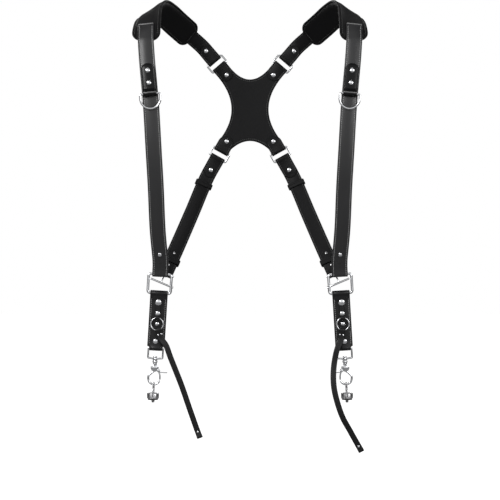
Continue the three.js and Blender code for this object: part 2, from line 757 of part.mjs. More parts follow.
// Tethers. in runs towards the body's middle as a share of the sweep, ahead is a share of the bulge
// and down of the drop, all from the tether ring. turn is the angle at which the tether leaves it.
const tethers = {
  left: {
    drop: leftTetherDrop,
    sweep: leftTetherSweep,
    bulge: leftTetherBulge,
    turn: 18.6,
    rows: [
      { in: 0.177, ahead: 0.7, down: 0.140 },
      { in: 0.288, ahead: 1.0, down: 0.252 },
      { in: 0.563, ahead: 1.0, down: 0.520 },
      { in: 0.760, ahead: 0.8, down: 0.740 },
      { in: 0.939, ahead: 0.5, down: 0.937 },
      { in: 1.000, ahead: 0.4, down: 1.000 },
    ],
  },
  right: {
    drop: rightTetherDrop,
    sweep: rightTetherSweep,
    bulge: rightTetherBulge,
    turn: 11,
    rows: [
      { in: 0.26, ahead: 0.17, down: 0.155 },
      { in: 0.43, ahead: 0.60, down: 0.263 },
      { in: 0.50, ahead: 0.90, down: 0.380 },
      { in: 0.44, ahead: 1.00, down: 0.500 },
      { in: 0.08, ahead: 0.96, down: 0.700 },
      { in: -0.375, ahead: 0.72, down: 0.840 },
      { in: -0.917, ahead: 0.48, down: 1.000 },
    ],
  },
};

function tether({ drop, sweep, bulge, turn, rows }) {
  const way = vec(-Math.sin(rad(turn)), 0, -Math.cos(rad(turn))).transformDirection(hangTurn);
  const ringMiddle = tetherRingAt.clone().applyMatrix4(hangTurn);
  const start = ringMiddle.clone().addScaledVector(way, tetherRingHalf);
  const ringBar = frameAt(start, way, frontFace);
  const path = strapPath([
    { at: vec(foldClear, 0, 0).applyMatrix4(ringBar), lift: -turn },
    { at: vec(tetherFlap, 0, 0).applyMatrix4(ringBar), lift: -turn },
    ...rows.map((row) => ({
      at: start.clone().add(vec(-row.in * sweep, -row.ahead * bulge, -row.down * drop)),
      lift: 0,
    })),
  ]);
  const end = path.atDistance(path.length);
  const lugBar = frameAt(end.at, end.along.clone().negate(), end.face);
  const fold = { leather: tetherFold, main: tetherFlap, flap: tetherFlap, width: tetherWidth };
  return join(
    ribbon(path, spaced(0, path.length - foldClear, 18), even(tetherWidth), tetherThick),
    moved(foldedEnd({ hole: tetherHole, ...fold }), ringBar),
    moved(foldedEnd({ hole: lugHole, ...fold }), lugBar),
  );
}

// Swivel loop: its foot dips to a boss that is bored for the hook's stem
const loopHalf = (loopHeight - loopWire) / 2;
const bossMiddle = tabFoot - 2 * loopHalf - loopDip;
const sideways = vec(0, 1, 0);

function swivelLoop() {
  const points = roundedRectangle(loopWidth - loopWire, 2 * loopHalf, 0.4 * loopWire);
  points.splice(3 * (turnSteps + 1), 0, vec(0, -loopHalf - loopDip, 0));
  const upright = new THREE.Matrix4().makeRotationX(Math.PI / 2);
  const frameWire = shifted(moved(wire(points, loopWire), upright), 0, 0, tabFoot - loopHalf);
  const boss = rod(bossRadius, bossHeight, up, vec(0, 0, bossMiddle));
  return cut(join(frameWire, boss), rod(stemRadius + slack, 2 * bossHeight, up, vec(0, 0, bossMiddle)));
}

// Snap hook, with its origin at the middle of the hook's round. The gate is on the inner side.
const bossFoot = bossMiddle - bossHeight / 2;
const eyeDrop = seatGap + collarHeight + neckLength + eyeRadius;
const hookMiddle = bossFoot - eyeDrop - hookDrop;
const gatePivot = vec(-gateOut, 0, gateUp);
const hookRows = [
  { x: 0, z: 1.36 }, { x: 0.53, z: 0.90 }, { x: 0.95, z: 0.42 }, { x: 1, z: 0 }, { x: 0.72, z: -0.70 },
  { x: 0, z: -1 }, { x: -0.70, z: -0.72 }, { x: -0.97, z: -0.24 },
];
function snapHook() {
  const curve = new THREE.CatmullRomCurve3(hookRows.map(({ x, z }) => vec(x * hookRadius, z * hookRadius, 0)));
  const upright = new THREE.Matrix4().makeRotationX(Math.PI / 2);
  const round = moved(wire(curve.getPoints(16), hookWire, false), upright);
  const eye = rod(eyeRadius, eyeThick, sideways, vec(0, 0, hookDrop));
  const cap = rod(eyeCapRadius, eyeThick + 2 * eyeCapHeight, sideways, vec(0, 0, hookDrop));
  const collarTop = hookDrop + eyeDrop - seatGap;
  const neck = rod(0.75 * collarRadius, collarTop - hookDrop, up, vec(0, 0, (collarTop + hookDrop) / 2));
  const collar = rod(collarRadius, collarHeight, up, vec(0, 0, collarTop - collarHeight / 2));
  const headFoot = collarTop + bossHeight + 2 * seatGap;
  const stem = rod(stemRadius, headFoot - collarTop + 2, up, vec(0, 0, (headFoot + collarTop) / 2));
  const head = rod(stemHeadRadius, stemHeadHeight, up, vec(0, 0, headFoot + stemHeadHeight / 2));
  const earSpan = eyeThick + 1;
  const ears = rod(gateEye, earSpan, sideways, gatePivot);
  const slot = rod(gateEye + 0.5, gateThick + 2 * slack, sideways, gatePivot);
  const pin = rod(pinRadius, earSpan, sideways, gatePivot, 8);
  return join(cut(join(round, eye, cap, neck, collar, stem, head, ears), slot), pin);
}

function hookGate() {
  const tip = -0.24 * hookRadius + gateGap;
  const points = [
    vec(-gateOut, gateUp, 0),
    vec(-0.93 * hookRadius, 0.55 * (gateUp - tip) + tip, 0),
    vec(-hookRadius, 0.25 * (gateUp - tip) + tip, 0),
    vec(-hookRadius, tip, 0),
  ];
  const upright = new THREE.Matrix4().makeRotationX(Math.PI / 2);
  const arm = moved(wire(points, gateWall * Math.SQRT2, false, 4), upright);
  const eye = rod(gateEye, gateThick, sideways, gatePivot);
  const leverUp = gateUp - gateEye;
  const lever = bar(leverReach, gateThick, leverThick, vec(-gateOut - leverReach / 2, 0, leverUp));
  return cut(join(arm, eye, lever), rod(pinRadius + slack, 2 * gateThick, sideways, gatePivot, 8));
}

// Camera screw, hung by its bail in the hook
const bailSide = bailReach - bailWidth / 2;
const bowUp = -hookRadius + (hookWire + bailWire) / 2 + seatGap;
const screwMiddle = bowUp - (bailReach - bailWire / 2);

function screwBail() {
  const place = frameAt(vec(0, 0, screwMiddle), sideways, down);
  return moved(dWire(bailWidth, bailWire, bailSide), place);
}

function cameraScrew() {
  const foot = -knobHeight / 2;
  const body = turned([
    { radius: 0, up: foot - screwLength },
    { radius: screwRadius - 0.6, up: foot - screwLength },
    { radius: screwRadius, up: foot - screwLength + 0.6 },
    { radius: screwRadius, up: foot },
    { radius: knobRadius - knobEdge, up: foot },
    { radius: knobRadius, up: foot + knobEdge },
    { radius: knobRadius, up: -foot - knobEdge },
    { radius: knobRadius - knobEdge, up: -foot },
    { radius: 0, up: -foot },
  ], 16);
  return cut(body, rod(bailWire / 2 + slack, 4 * knobRadius, sideways, vec(0, 0, 0), 8));
}

function screwWasher() {
  const top = -knobHeight / 2 - seatGap;
  const inner = screwRadius + slack;
  return turned([
    { radius: inner, up: top - washerThick },
    { radius: washerRadius, up: top - washerThick },
    { radius: washerRadius, up: top },
    { radius: inner, up: top },
    { radius: inner, up: top - washerThick },
  ], 16);
}

// A domed rivet head with its flat face at the origin, facing +Z.
function dome(radius, height) {
  return turned([
    { radius: 0, up: 0 },
    { radius, up: 0 },
    { radius, up: 0.25 * height },
    { radius: 0.72 * radius, up: 0.8 * height },
    { radius: 0, up: height },
  ], 10);
}

function facing(at, way) {
  const turn = new THREE.Quaternion().setFromUnitVectors(up, way.clone().normalize());
  return new THREE.Matrix4().compose(at, turn, vec(1, 1, 1));
}

// A rivet on the turned-back layer of a fold, on the side that faces the body.
function rivetOnFlap(frame, distance, leather) {
  const at = vec(distance, -leather - seatGap, 0).applyMatrix4(frame);
  return facing(at, vec(0, -1, 0).transformDirection(frame));
}

// A rivet on the outward face of a strap.
function rivetOnPath(path, distance, level) {
  const { at, face } = path.atDistance(distance);
  return facing(at.clone().addScaledVector(face, level + seatGap), face);
}

// Assembly
const harness = new THREE.Group();

function add(parent, name, geometry, material, matrix = new THREE.Matrix4()) {
  const mesh = new THREE.Mesh(geometry, material);
  mesh.name = name;
  matrix.decompose(mesh.position, mesh.quaternion, mesh.scale);
  parent.add(mesh);
}

function addSide(side, mirror) {
  const body = new THREE.Group();
  body.scale.x = mirror;
  harness.add(body);
  const rivet = dome(rivetRadius, rivetHeight);
  add(body, `${side}_shoulder_pad`, shoulderPad(), padLeather);
  add(body, `${side}_front_strap`, frontStrap(), satinLeather);
  add(body, `${side}_upper_back_strap`, upperBackStrap(), backLeather);
  add(body, `${side}_lower_back_strap`, lowerBackStrap(), backLeather);
  add(body, `${side}_strap_loop_upper`, strapBand(1), backLeather, bandPlace(upperBandAt, 0));
  add(body, `${side}_strap_loop_lower`, strapBand(2), backLeather,
    bandPlace(lowerPath.length - lowerBandAt, -strapThick / 2));
  add(body, `${side}_yoke_ring_upper`, yokeRing(upperRing, upperPull), chrome);
  add(body, `${side}_yoke_ring_lower`, yokeRing(lowerRing, lowerPull), chrome);
  add(body, `${side}_ring_keeper`, ringKeeper(), satinLeather);
  add(body, `${side}_d_ring`, dRing(), chrome);
  keeperRivets.forEach((distance, i) => add(body, `${side}_keeper_rivet_${i + 1}`, rivet, chrome,
    rivetOnPath(frontPath, keeperAt + distance, strapThick / 2 + seatGap + 2 * keeperThick)));
  add(body, `${side}_front_stud`, dome(studRadius, studHeight), chrome,
    rivetOnPath(frontPath, frontStudAt - foldClear, strapThick / 2));
  add(body, `${side}_upper_strap_rivet`, rivet, chrome, rivetOnFlap(upperStrapBar, upperRivetAt, strapThick));
  add(body, `${side}_lower_strap_rivet`, rivet, chrome, rivetOnFlap(lowerStrapBar, lowerRivetAt, strapThick));
  add(body, `${side}_yoke_rivet_upper`, rivet, chrome, rivetOnFlap(upperArmBar, yokeRivetAt, yokeThick));
  add(body, `${side}_yoke_rivet_lower`, rivet, chrome, rivetOnFlap(lowerArmBar, yokeRivetAt, yokeThick));
  add(body, `${side}_tether`, tether(tethers[side]), satinLeather);

  const hang = new THREE.Group();
  hang.position.copy(waistRing);
  hang.rotation.y = -rad(hangLean);
  body.add(hang);
  add(hang, `${side}_waist_ring`, waistRingBody(), chrome);
  add(hang, `${side}_drop_tab`, dropTab(), satinLeather);
  add(hang, `${side}_tether_keeper`, tetherKeeper(), satinLeather);
  add(hang, `${side}_tether_ring`, tetherRing(), chrome, frameAt(tetherRingAt, vec(1, 0, 0), up));
  add(hang, `${side}_swivel_loop`, swivelLoop(), chrome);

  const hook = new THREE.Group();
  hook.position.z = hookMiddle;
  hang.add(hook);
  add(hook, `${side}_snap_hook`, snapHook(), chrome);
  add(hook, `${side}_hook_gate`, hookGate(), chrome);
  add(hook, `${side}_screw_bail`, screwBail(), steel);

  const screw = new THREE.Group();
  screw.position.z = screwMiddle;
  screw.rotation.y = rad(hangLean);
  hook.add(screw);
  add(screw, `${side}_camera_screw`, cameraScrew(), steel);
  add(screw, `${side}_screw_washer`, screwWasher(), rubber);
}

add(harness, 'back_yoke', backYoke(), backLeather);
addSide('left', -1);
addSide('right', 1);

export default harness;
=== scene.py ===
# %% [markdown]
# # A dual camera harness of black leather
# The harness hangs in the form that it has when worn: two padded straps, an X-shaped back yoke and a
# drop tab with a swivel hook at each hip. The CAD part fixes every place and size. This scene keeps
# those places and gives the leather its round edges and stitches, and the metal its smooth wires.
# Sizes are in millimetres here, and each mesh is made in metres.

# %% Load the CAD part
import json
import math
import bpy
import numpy as np
from mathutils import Matrix, Vector


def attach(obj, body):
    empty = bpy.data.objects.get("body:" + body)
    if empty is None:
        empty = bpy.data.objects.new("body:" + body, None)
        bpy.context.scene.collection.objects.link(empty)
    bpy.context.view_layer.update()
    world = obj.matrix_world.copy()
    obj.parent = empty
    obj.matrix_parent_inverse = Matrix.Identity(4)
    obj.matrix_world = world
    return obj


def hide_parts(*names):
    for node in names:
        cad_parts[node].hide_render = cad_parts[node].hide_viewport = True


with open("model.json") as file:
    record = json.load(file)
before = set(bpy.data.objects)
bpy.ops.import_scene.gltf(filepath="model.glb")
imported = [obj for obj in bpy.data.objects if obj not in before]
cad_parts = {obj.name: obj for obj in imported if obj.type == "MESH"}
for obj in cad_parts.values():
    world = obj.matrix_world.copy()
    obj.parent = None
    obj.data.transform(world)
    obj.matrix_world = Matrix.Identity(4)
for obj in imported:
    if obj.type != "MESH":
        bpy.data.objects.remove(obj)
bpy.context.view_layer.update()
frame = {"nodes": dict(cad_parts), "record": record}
MM = 0.001
SIDES = {"left": -1, "right": 1}
print(len(frame["nodes"]), "CAD nodes")

# %% [markdown]
# The photograph was taken level with the middle of the harness from some way off, so the straps hardly
# taper. A 100 mm lens at 2.6 m gives the same outline. Blender's camera looks down at first, so a
# quarter turn about X makes it look level along Y.

# %% Camera
camera_data = bpy.data.cameras.new("camera")
camera_data.lens = 100
camera_data.sensor_width = 36
camera = bpy.data.objects.new("camera", camera_data)
camera.location = (0, -2.6, -0.451)
camera.rotation_euler = (math.pi / 2, 0, 0)
scene = bpy.context.scene
scene.collection.objects.link(camera)
scene.camera = camera
print("camera at", tuple(round(v, 3) for v in camera.location))

# %% [markdown]
# The floor and the air show the same pale white, so no horizon shows behind the dark leather. What the
# metal mirrors is darker: the Light Path node tells rays from the camera apart from all others, and only
# the camera's rays see white. The rest see a room that is bright in front and dark at the sides and back.

# %% Floor
FLOOR_DROP, FLOOR_HALF = 0.99, 9
corners = [(x * FLOOR_HALF, y * FLOOR_HALF, -FLOOR_DROP) for x, y in ((-1, -1), (1, -1), (1, 1), (-1, 1))]
floor_mesh = bpy.data.meshes.new("floor")
floor_mesh.from_pydata(corners, [], [(0, 1, 2, 3)])
floor = bpy.data.objects.new("floor", floor_mesh)
scene.collection.objects.link(floor)
pale = bpy.data.materials.new("pale floor")
pale.use_nodes = True
pale_shader = pale.node_tree.nodes["Principled BSDF"]
pale_shader.inputs["Base Color"].default_value = (0.2, 0.2, 0.2, 1)
pale_shader.inputs["Roughness"].default_value = 0.9
pale_shader.inputs["Specular IOR Level"].default_value = 0.1
pale_shader.inputs["Emission Color"].default_value = (1, 1, 1, 1)
pale_nodes, pale_links = pale.node_tree.nodes, pale.node_tree.links
pale_ray = pale_nodes.new("ShaderNodeLightPath")
pale_glow = pale_nodes.new("ShaderNodeMapRange")
pale_glow.inputs["To Min"].default_value = 0.10
pale_glow.inputs["To Max"].default_value = 1.0
pale_links.new(pale_ray.outputs["Is Camera Ray"], pale_glow.inputs["Value"])
pale_links.new(pale_glow.outputs["Result"], pale_shader.inputs["Emission Strength"])
floor_mesh.materials.append(pale)
print("floor", FLOOR_DROP, "m below the shoulders")

# %% Air
world = bpy.data.worlds.new("studio")
world.use_nodes = True
world_nodes, world_links = world.node_tree.nodes, world.node_tree.links
sky_way = world_nodes.new("ShaderNodeTexCoord")
sky_parts = world_nodes.new("ShaderNodeSeparateXYZ")
sky_fall = world_nodes.new("ShaderNodeMapRange")
sky_fall.interpolation_type = "SMOOTHSTEP"
for socket, value in (("From Min", -0.85), ("From Max", -0.30), ("To Min", 0.85), ("To Max", 0.06)):
    sky_fall.inputs[socket].default_value = value
world_links.new(sky_way.outputs["Generated"], sky_parts.inputs["Vector"])
world_links.new(sky_parts.outputs["Y"], sky_fall.inputs["Value"])
sky_ray = world_nodes.new("ShaderNodeLightPath")
sky_seen = world_nodes.new("ShaderNodeMix")
sky_seen.inputs["B"].default_value = 1.0
world_links.new(sky_ray.outputs["Is Camera Ray"], sky_seen.inputs["Factor"])
world_links.new(sky_fall.outputs["Result"], sky_seen.inputs["A"])
world_links.new(sky_seen.outputs["Result"], world_nodes["Background"].inputs["Color"])
scene.world = world
scene.view_settings.view_transform = "Standard"
print("air:", world.name)


# %% Soft light
def softbox(name, place, aim, size, power):
    light = bpy.data.lights.new(name, "AREA")
    light.shape = "RECTANGLE"
    light.size, light.size_y = size
    light.energy = power
    lamp = bpy.data.objects.new(name, light)
    lamp.location = place
    lamp.visible_camera = False
    lamp.rotation_euler = (Vector(aim) - Vector(place)).to_track_quat("-Z", "Y").to_euler()
    scene.collection.objects.link(lamp)


softbox("key", place=(-1.5, -1.9, 0.9), aim=(0, 0, -0.35), size=(1.0, 1.0), power=34)
softbox("fill", place=(1.7, -1.7, 0.3), aim=(0, 0, -0.4), size=(1.2, 1.2), power=16)
softbox("top", place=(0, 0.5, 1.6), aim=(0, 0, -0.3), size=(1.6, 1.0), power=9)
softbox("back left", place=(-1.7, 2.0, 0.7), aim=(0, 0, -0.4), size=(1.2, 1.2), power=30)
softbox("back right", place=(1.7, 2.0, 0.4), aim=(0, 0, -0.4), size=(1.2, 1.2), power=18)

# %% [markdown]
# Leather has a fine grain that breaks up the light, and wear that makes it shinier in patches. Both come
# from procedural noise, so the look doesn't depend on how a mesh is unwrapped. The group gives out
# only a normal and a mask, and each leather chooses its own colour and shine.

# %% Leather grain, as a node group
def new_group(name, inputs, outputs):
    group = bpy.data.node_groups.new(name, "ShaderNodeTree")
    for label, kind, value in inputs:
        socket = group.interface.new_socket(label, in_out="INPUT", socket_type=kind)
        socket.default_value = value
    for label, kind in outputs:
        group.interface.new_socket(label, in_out="OUTPUT", socket_type=kind)
    return group, group.nodes.new("NodeGroupInput"), group.nodes.new("NodeGroupOutput")


def grain_group():
    group, given, out = new_group(
        "leather grain",
        [("Pebble", "NodeSocketFloat", 900), ("Depth", "NodeSocketFloat", 0.1)],
        [("Normal", "NodeSocketVector"), ("Wear", "NodeSocketFloat")])
    nodes, links = group.nodes, group.links
    where = nodes.new("ShaderNodeTexCoord")
    pebble = nodes.new("ShaderNodeTexVoronoi")
    pebble.feature = "DISTANCE_TO_EDGE"
    wear, crease = (nodes.new("ShaderNodeTexNoise") for _ in range(2))
    for noise, scale, detail in ((wear, 22, 5), (crease, 260, 4)):
        noise.inputs["Scale"].default_value = scale
        noise.inputs["Detail"].default_value = detail
    total = nodes.new("ShaderNodeMath")
    total.operation = "ADD"
    bump = nodes.new("ShaderNodeBump")
    bump.inputs["Distance"].default_value = 0.0003
    for texture in (pebble, wear, crease):
        links.new(where.outputs["Object"], texture.inputs["Vector"])
    links.new(given.outputs["Pebble"], pebble.inputs["Scale"])
    links.new(pebble.outputs["Distance"], total.inputs[0])
    links.new(crease.outputs["Fac"], total.inputs[1])
    links.new(total.outputs["Value"], bump.inputs["Height"])
    links.new(given.outputs["Depth"], bump.inputs["Strength"])
    links.new(bump.outputs["Normal"], out.inputs["Normal"])
    links.new(wear.outputs["Fac"], out.inputs["Wear"])
    return group


GRAIN = grain_group()
print("node group:", GRAIN.name)

# %% [markdown]
# Five leathers share the grain. The front straps are satin, the tabs and tethers darker, and the back
# and the pads dull. The keepers are the front straps' leather with a darker colour, which is painted
# shade for the way they turn from the light. Each number is set on the shader's own socket, and only
# the worn roughness and the normal come through the group.


# %% Materials
def leather(name, color, roughness, shine_level, pebble, depth, worn):
    material = bpy.data.materials.new(name)
    material.use_nodes = True
    nodes, links = material.node_tree.nodes, material.node_tree.links
    shader = nodes["Principled BSDF"]
    shader.inputs["Base Color"].default_value = (*color, 1)
    shader.inputs["Roughness"].default_value = roughness
    shader.inputs["Specular IOR Level"].default_value = shine_level
    grain = nodes.new("ShaderNodeGroup")
    grain.node_tree = GRAIN
    grain.inputs["Pebble"].default_value = pebble
    grain.inputs["Depth"].default_value = depth
    shine = nodes.new("ShaderNodeMapRange")
    wear_range = {"From Min": 0.3, "From Max": 0.7, "To Min": roughness + worn, "To Max": roughness - worn}
    for socket, value in wear_range.items():
        shine.inputs[socket].default_value = value
    links.new(grain.outputs["Wear"], shine.inputs["Value"])
    links.new(shine.outputs["Result"], shader.inputs["Roughness"])
    links.new(grain.outputs["Normal"], shader.inputs["Normal"])
    return material


def plain(name, color, roughness, metallic=0.0):
    material = bpy.data.materials.new(name)
    material.use_nodes = True
    shader = material.node_tree.nodes["Principled BSDF"]
    shader.inputs["Base Color"].default_value = (*color, 1)
    shader.inputs["Roughness"].default_value = roughness
    shader.inputs["Metallic"].default_value = metallic
    return material


LEATHERS = {
    "satin leather": {"color": (0.022, 0.022, 0.023), "roughness": 0.36, "shine_level": 0.45,
                      "pebble": 900, "depth": 0.12, "worn": 0.06},
    "tab leather": {"color": (0.008, 0.008, 0.0085), "roughness": 0.4, "shine_level": 0.3,
                    "pebble": 900, "depth": 0.12, "worn": 0.06},
    # painted shade: the keeper is the satin strap leather, darkened for the shade of its angle
    "keeper leather": {"color": (0.004, 0.004, 0.0045), "roughness": 0.24, "shine_level": 0.2,
                       "pebble": 900, "depth": 0.1, "worn": 0.04},
    "back leather": {"color": (0.005, 0.005, 0.0055), "roughness": 0.55, "shine_level": 0.2,
                     "pebble": 700, "depth": 0.2, "worn": 0.05},
    "pad leather": {"color": (0.003, 0.003, 0.0033), "roughness": 0.6, "shine_level": 0.15,
                    "pebble": 500, "depth": 0.3, "worn": 0.05},
}
LOOKS = {name.replace(" ", "_"): leather(name, **values) for name, values in LEATHERS.items()}
LOOKS.update({
    "chrome": plain("chrome", (0.80, 0.81, 0.83), roughness=0.08, metallic=1.0),
    "steel": plain("satin steel", (0.60, 0.60, 0.61), roughness=0.3, metallic=1.0),
    "rubber": plain("black rubber", (0.015, 0.015, 0.015), roughness=0.8),
    # painted highlight: light grey on rolls of black leather, standing for the shine along a strap's end and
    # a keeper's bend
    "painted_highlight": plain("painted highlight leather", (0.16, 0.16, 0.16), roughness=0.3),
    "thread": plain("grey thread", (0.42, 0.42, 0.42), roughness=0.7),
    "dull_thread": plain("dull thread", (0.09, 0.09, 0.09), roughness=0.6),
    "dark_thread": plain("black thread", (0.03, 0.03, 0.03), roughness=0.6),
})
for part in frame["record"]["subparts"]:
    mesh = frame["nodes"][part["node"]].data
    mesh.materials.clear()
    mesh.materials.append(LOOKS[part["material_slot"]])
print("materials:", sorted(LOOKS))

# %% [markdown]
# Every strap is one flat ribbon of leather that follows a smooth line over the body and folds back
# round a bar at its ends. So a strap needs a line with three directions at each place: the way along,
# the way across and the outward face. The sizes repeat those of the CAD part.

# %% Sizes of the body and the straps
SHOULDER_SPAN, CHEST_REACH, BACK_REACH = 363, 112, 112
WAIST_SPAN, WAIST_DROP, WAIST_REACH = 332.4, 513, 45
HANG_LEAN, WAIST_SLOPE = 3.4, 25
STRAP_WIDTH, STRAP_THICK = 29, 2.8
FRONT_FLAP, BACK_FLAP, LOWER_FLAP, SIDE_FLAP = 46, 34, 40, 52
SIDE_BOW, SEAM_INSET, FOLD_CLEAR = 7, 30, 12
PAD_WIDTH, PAD_THICK, PAD_RIM, PAD_DROP, PAD_CORNER = 52, 9, 4.5, 72, 17
YOKE_THICK, ARM_WIDTH, ARM_FLAP, YOKE_RIVET_AT = 3, 30, 30, 20
YOKE_UPPER_SPAN, YOKE_LOWER_SPAN, YOKE_UPPER_DROP, YOKE_LOWER_DROP = 128.8, 119, 87.8, 264.5
UPPER_ARM_ANGLE, LOWER_ARM_ANGLE = math.radians(49.5), math.radians(61)
UPPER_VALLEY, LOWER_VALLEY, YOKE_WAIST = 117.8, 238.2, 72.6
YOKE_RING = {"width": 39, "depth": 21, "wire": 3.5, "corner": 2.6}
WAIST_RING = {"width": 47, "height": 40.3, "wire": 4.8, "corner": 4.6}
CROSS_WIRE, CROSS_UP, CROSS_IN = 3.5, 2, 2
POST, POST_WIRE, REAR_BAR = 21, 3, 35
SEAT_GAP, SLACK = 0.3, 0.3
print("strap", STRAP_WIDTH, "x", STRAP_THICK, "mm")


# %% Directions and frames
def vec(x, y, z):
    return Vector((x, y, z))


def polar(radius, degrees):
    """x and y of a place on a circle round the origin."""
    angle = math.radians(degrees)
    return radius * math.cos(angle), radius * math.sin(angle)


def turned_frame(x, y, z):
    """The rotation whose axes are x, y and z."""
    return Matrix((x, y, z)).transposed().to_4x4()


def frame_at(at, x, y):
    """A frame with its X along x and its Y as near to y as it can be."""
    unit_x = x.normalized()
    unit_y = (y - unit_x * y.dot(unit_x)).normalized()
    return Matrix.Translation(at) @ turned_frame(unit_x, unit_y, unit_x.cross(unit_y))


def way(matrix, x, y, z):
    return (matrix.to_3x3() @ vec(x, y, z)).normalized()


SIDEWAYS, BACKWARD, FORWARD, UP = vec(1, 0, 0), vec(0, 1, 0), vec(0, -1, 0), vec(0, 0, 1)
WAIST_PLACE = Matrix.Translation((WAIST_SPAN / 2, -WAIST_REACH, -WAIST_DROP))
HANG = WAIST_PLACE @ Matrix.Rotation(-math.radians(HANG_LEAN), 4, "Y")
RING_HALF = (YOKE_RING["depth"] - YOKE_RING["wire"]) / 2
WAIST_HALF = (WAIST_RING["height"] - WAIST_RING["wire"]) / 2
UPPER_PULL = vec(math.cos(UPPER_ARM_ANGLE), 0, math.sin(UPPER_ARM_ANGLE))
LOWER_PULL = vec(math.cos(LOWER_ARM_ANGLE), 0, -math.sin(LOWER_ARM_ANGLE))
UPPER_RING = vec(YOKE_UPPER_SPAN / 2, BACK_REACH, -YOKE_UPPER_DROP)
LOWER_RING = vec(YOKE_LOWER_SPAN / 2, BACK_REACH, -YOKE_LOWER_DROP)
print("waist ring at", [round(v, 1) for v in HANG.translation])

# %% Bars that carry a fold of leather
rise, lean = polar(1, WAIST_SLOPE)
WAIST_BAR = frame_at(HANG @ vec(0, 0, WAIST_HALF), way(HANG, 0, 0, 1) * rise + FORWARD * lean, FORWARD)
UPPER_STRAP_BAR = frame_at(UPPER_RING + UPPER_PULL * RING_HALF, UPPER_PULL, BACKWARD)
LOWER_STRAP_BAR = frame_at(LOWER_RING + LOWER_PULL * RING_HALF, LOWER_PULL, BACKWARD)
UPPER_ARM_BAR = frame_at(UPPER_RING - UPPER_PULL * RING_HALF, -UPPER_PULL, BACKWARD)
LOWER_ARM_BAR = frame_at(LOWER_RING - LOWER_PULL * RING_HALF, -LOWER_PULL, BACKWARD)
POST_FOOT = HANG @ vec(-CROSS_IN, 0, CROSS_UP)
SIDE_PULL = (LOWER_RING + LOWER_PULL * RING_HALF - POST_FOOT).normalized()
REAR = frame_at(POST_FOOT + SIDE_PULL * POST, SIDE_PULL, BACKWARD)
print("rear bar at", [round(v, 1) for v in REAR.translation])


# %% A smooth line through places
SAMPLES = 201
NEAR = 1e-4


def spline(points, t):
    """The point at share t of a centripetal Catmull-Rom curve."""
    count = len(points)
    place = t * (count - 1)
    i = min(int(place), count - 2)
    w = place - i
    p1, p2 = points[i], points[i + 1]
    p0 = points[i - 1] if i > 0 else points[0] * 2 - points[1]
    p3 = points[i + 2] if i + 2 < count else points[-1] * 2 - points[-2]
    d0, d1, d2 = ((b - a).length ** 0.5 for a, b in ((p0, p1), (p1, p2), (p2, p3)))
    m1 = ((p1 - p0) / d0 - (p2 - p0) / (d0 + d1) + (p2 - p1) / d1) * d1
    m2 = ((p2 - p1) / d1 - (p3 - p1) / (d1 + d2) + (p3 - p2) / d2) * d1
    return p1 + m1 * w + (p2 * 3 - p1 * 3 - m1 * 2 - m2) * w ** 2 + (p1 * 2 - p2 * 2 + m1 + m2) * w ** 3


def as_station(at, face, across):
    return {"at": at, "face": face, "across": across}


def strap_path(rows):
    """Rows of place and lift, made into a function from distance to a station, and the length."""
    points = [at for at, lift in rows]
    shares = np.linspace(0, 1, SAMPLES)
    samples = [spline(points, share) for share in shares.tolist()]
    reach = np.concatenate([[0], np.cumsum([(b - a).length for a, b in zip(samples, samples[1:])])])

    def at_distance(distance):
        t = float(np.interp(distance, reach, shares))
        low, high = max(t - NEAR, 0), min(t + NEAR, 1)
        along = (spline(points, high) - spline(points, low)).normalized()
        place = t * (len(rows) - 1)
        i = min(int(place), len(rows) - 2)
        lift = math.radians(rows[i][1] + (rows[i + 1][1] - rows[i][1]) * (place - i))
        across = vec(-math.cos(lift), 0, math.sin(lift))
        across = (across - along * across.dot(along)).normalized()
        return {**as_station(spline(points, t), along.cross(across).normalized(), across), "along": along}

    return at_distance, float(reach[-1])


def lifted(station, level):
    return {**station, "at": station["at"] + station["face"] * level}


def bar_station(bar, x, y, degrees, across=None):
    """A station in a bar's XY plane, whose face looks along an angle in that plane."""
    across = way(bar, 0, 0, 1) if across is None else across
    return as_station(bar @ vec(x, y, 0), way(bar, *polar(1, degrees), 0), across)


def spaced(start, end, steps):
    return [start + (end - start) * k / steps for k in range(steps + 1)]


PAD_ROWS = [
    {"out": 1.037, "behind": -0.78, "down": 1.00, "lift": 2},
    {"out": 1.036, "behind": -0.68, "down": 0.68, "lift": 13},
    {"out": 1.028, "behind": -0.47, "down": 0.35, "lift": 25},
    {"out": 1.005, "behind": -0.23, "down": 0.13, "lift": 34},
    {"out": 0.945, "behind": 0.00, "down": 0.03, "lift": 38},
    {"out": 0.860, "behind": 0.25, "down": 0.11, "lift": 43},
    {"out": 0.765, "behind": 0.49, "down": 0.285, "lift": 46},
    {"out": 0.616, "behind": 0.79, "down": 0.56, "lift": 46},
]
pad_at, PAD_LENGTH = strap_path([
    (vec(r["out"] * SHOULDER_SPAN / 2, r["behind"] * CHEST_REACH, -r["down"] * PAD_DROP), r["lift"])
    for r in PAD_ROWS])
PAD_STAND = PAD_THICK / 2 + SEAT_GAP + STRAP_THICK / 2
PAD_END = PAD_LENGTH - SEAM_INSET


def on_pad(distance):
    station = lifted(pad_at(distance), PAD_STAND)
    return station["at"], math.degrees(math.atan2(station["across"].z, -station["across"].x))


def from_bar(bar, distance):
    return bar @ vec(distance, STRAP_THICK / 2, 0)


print("pad:", round(PAD_LENGTH), "mm along its middle")

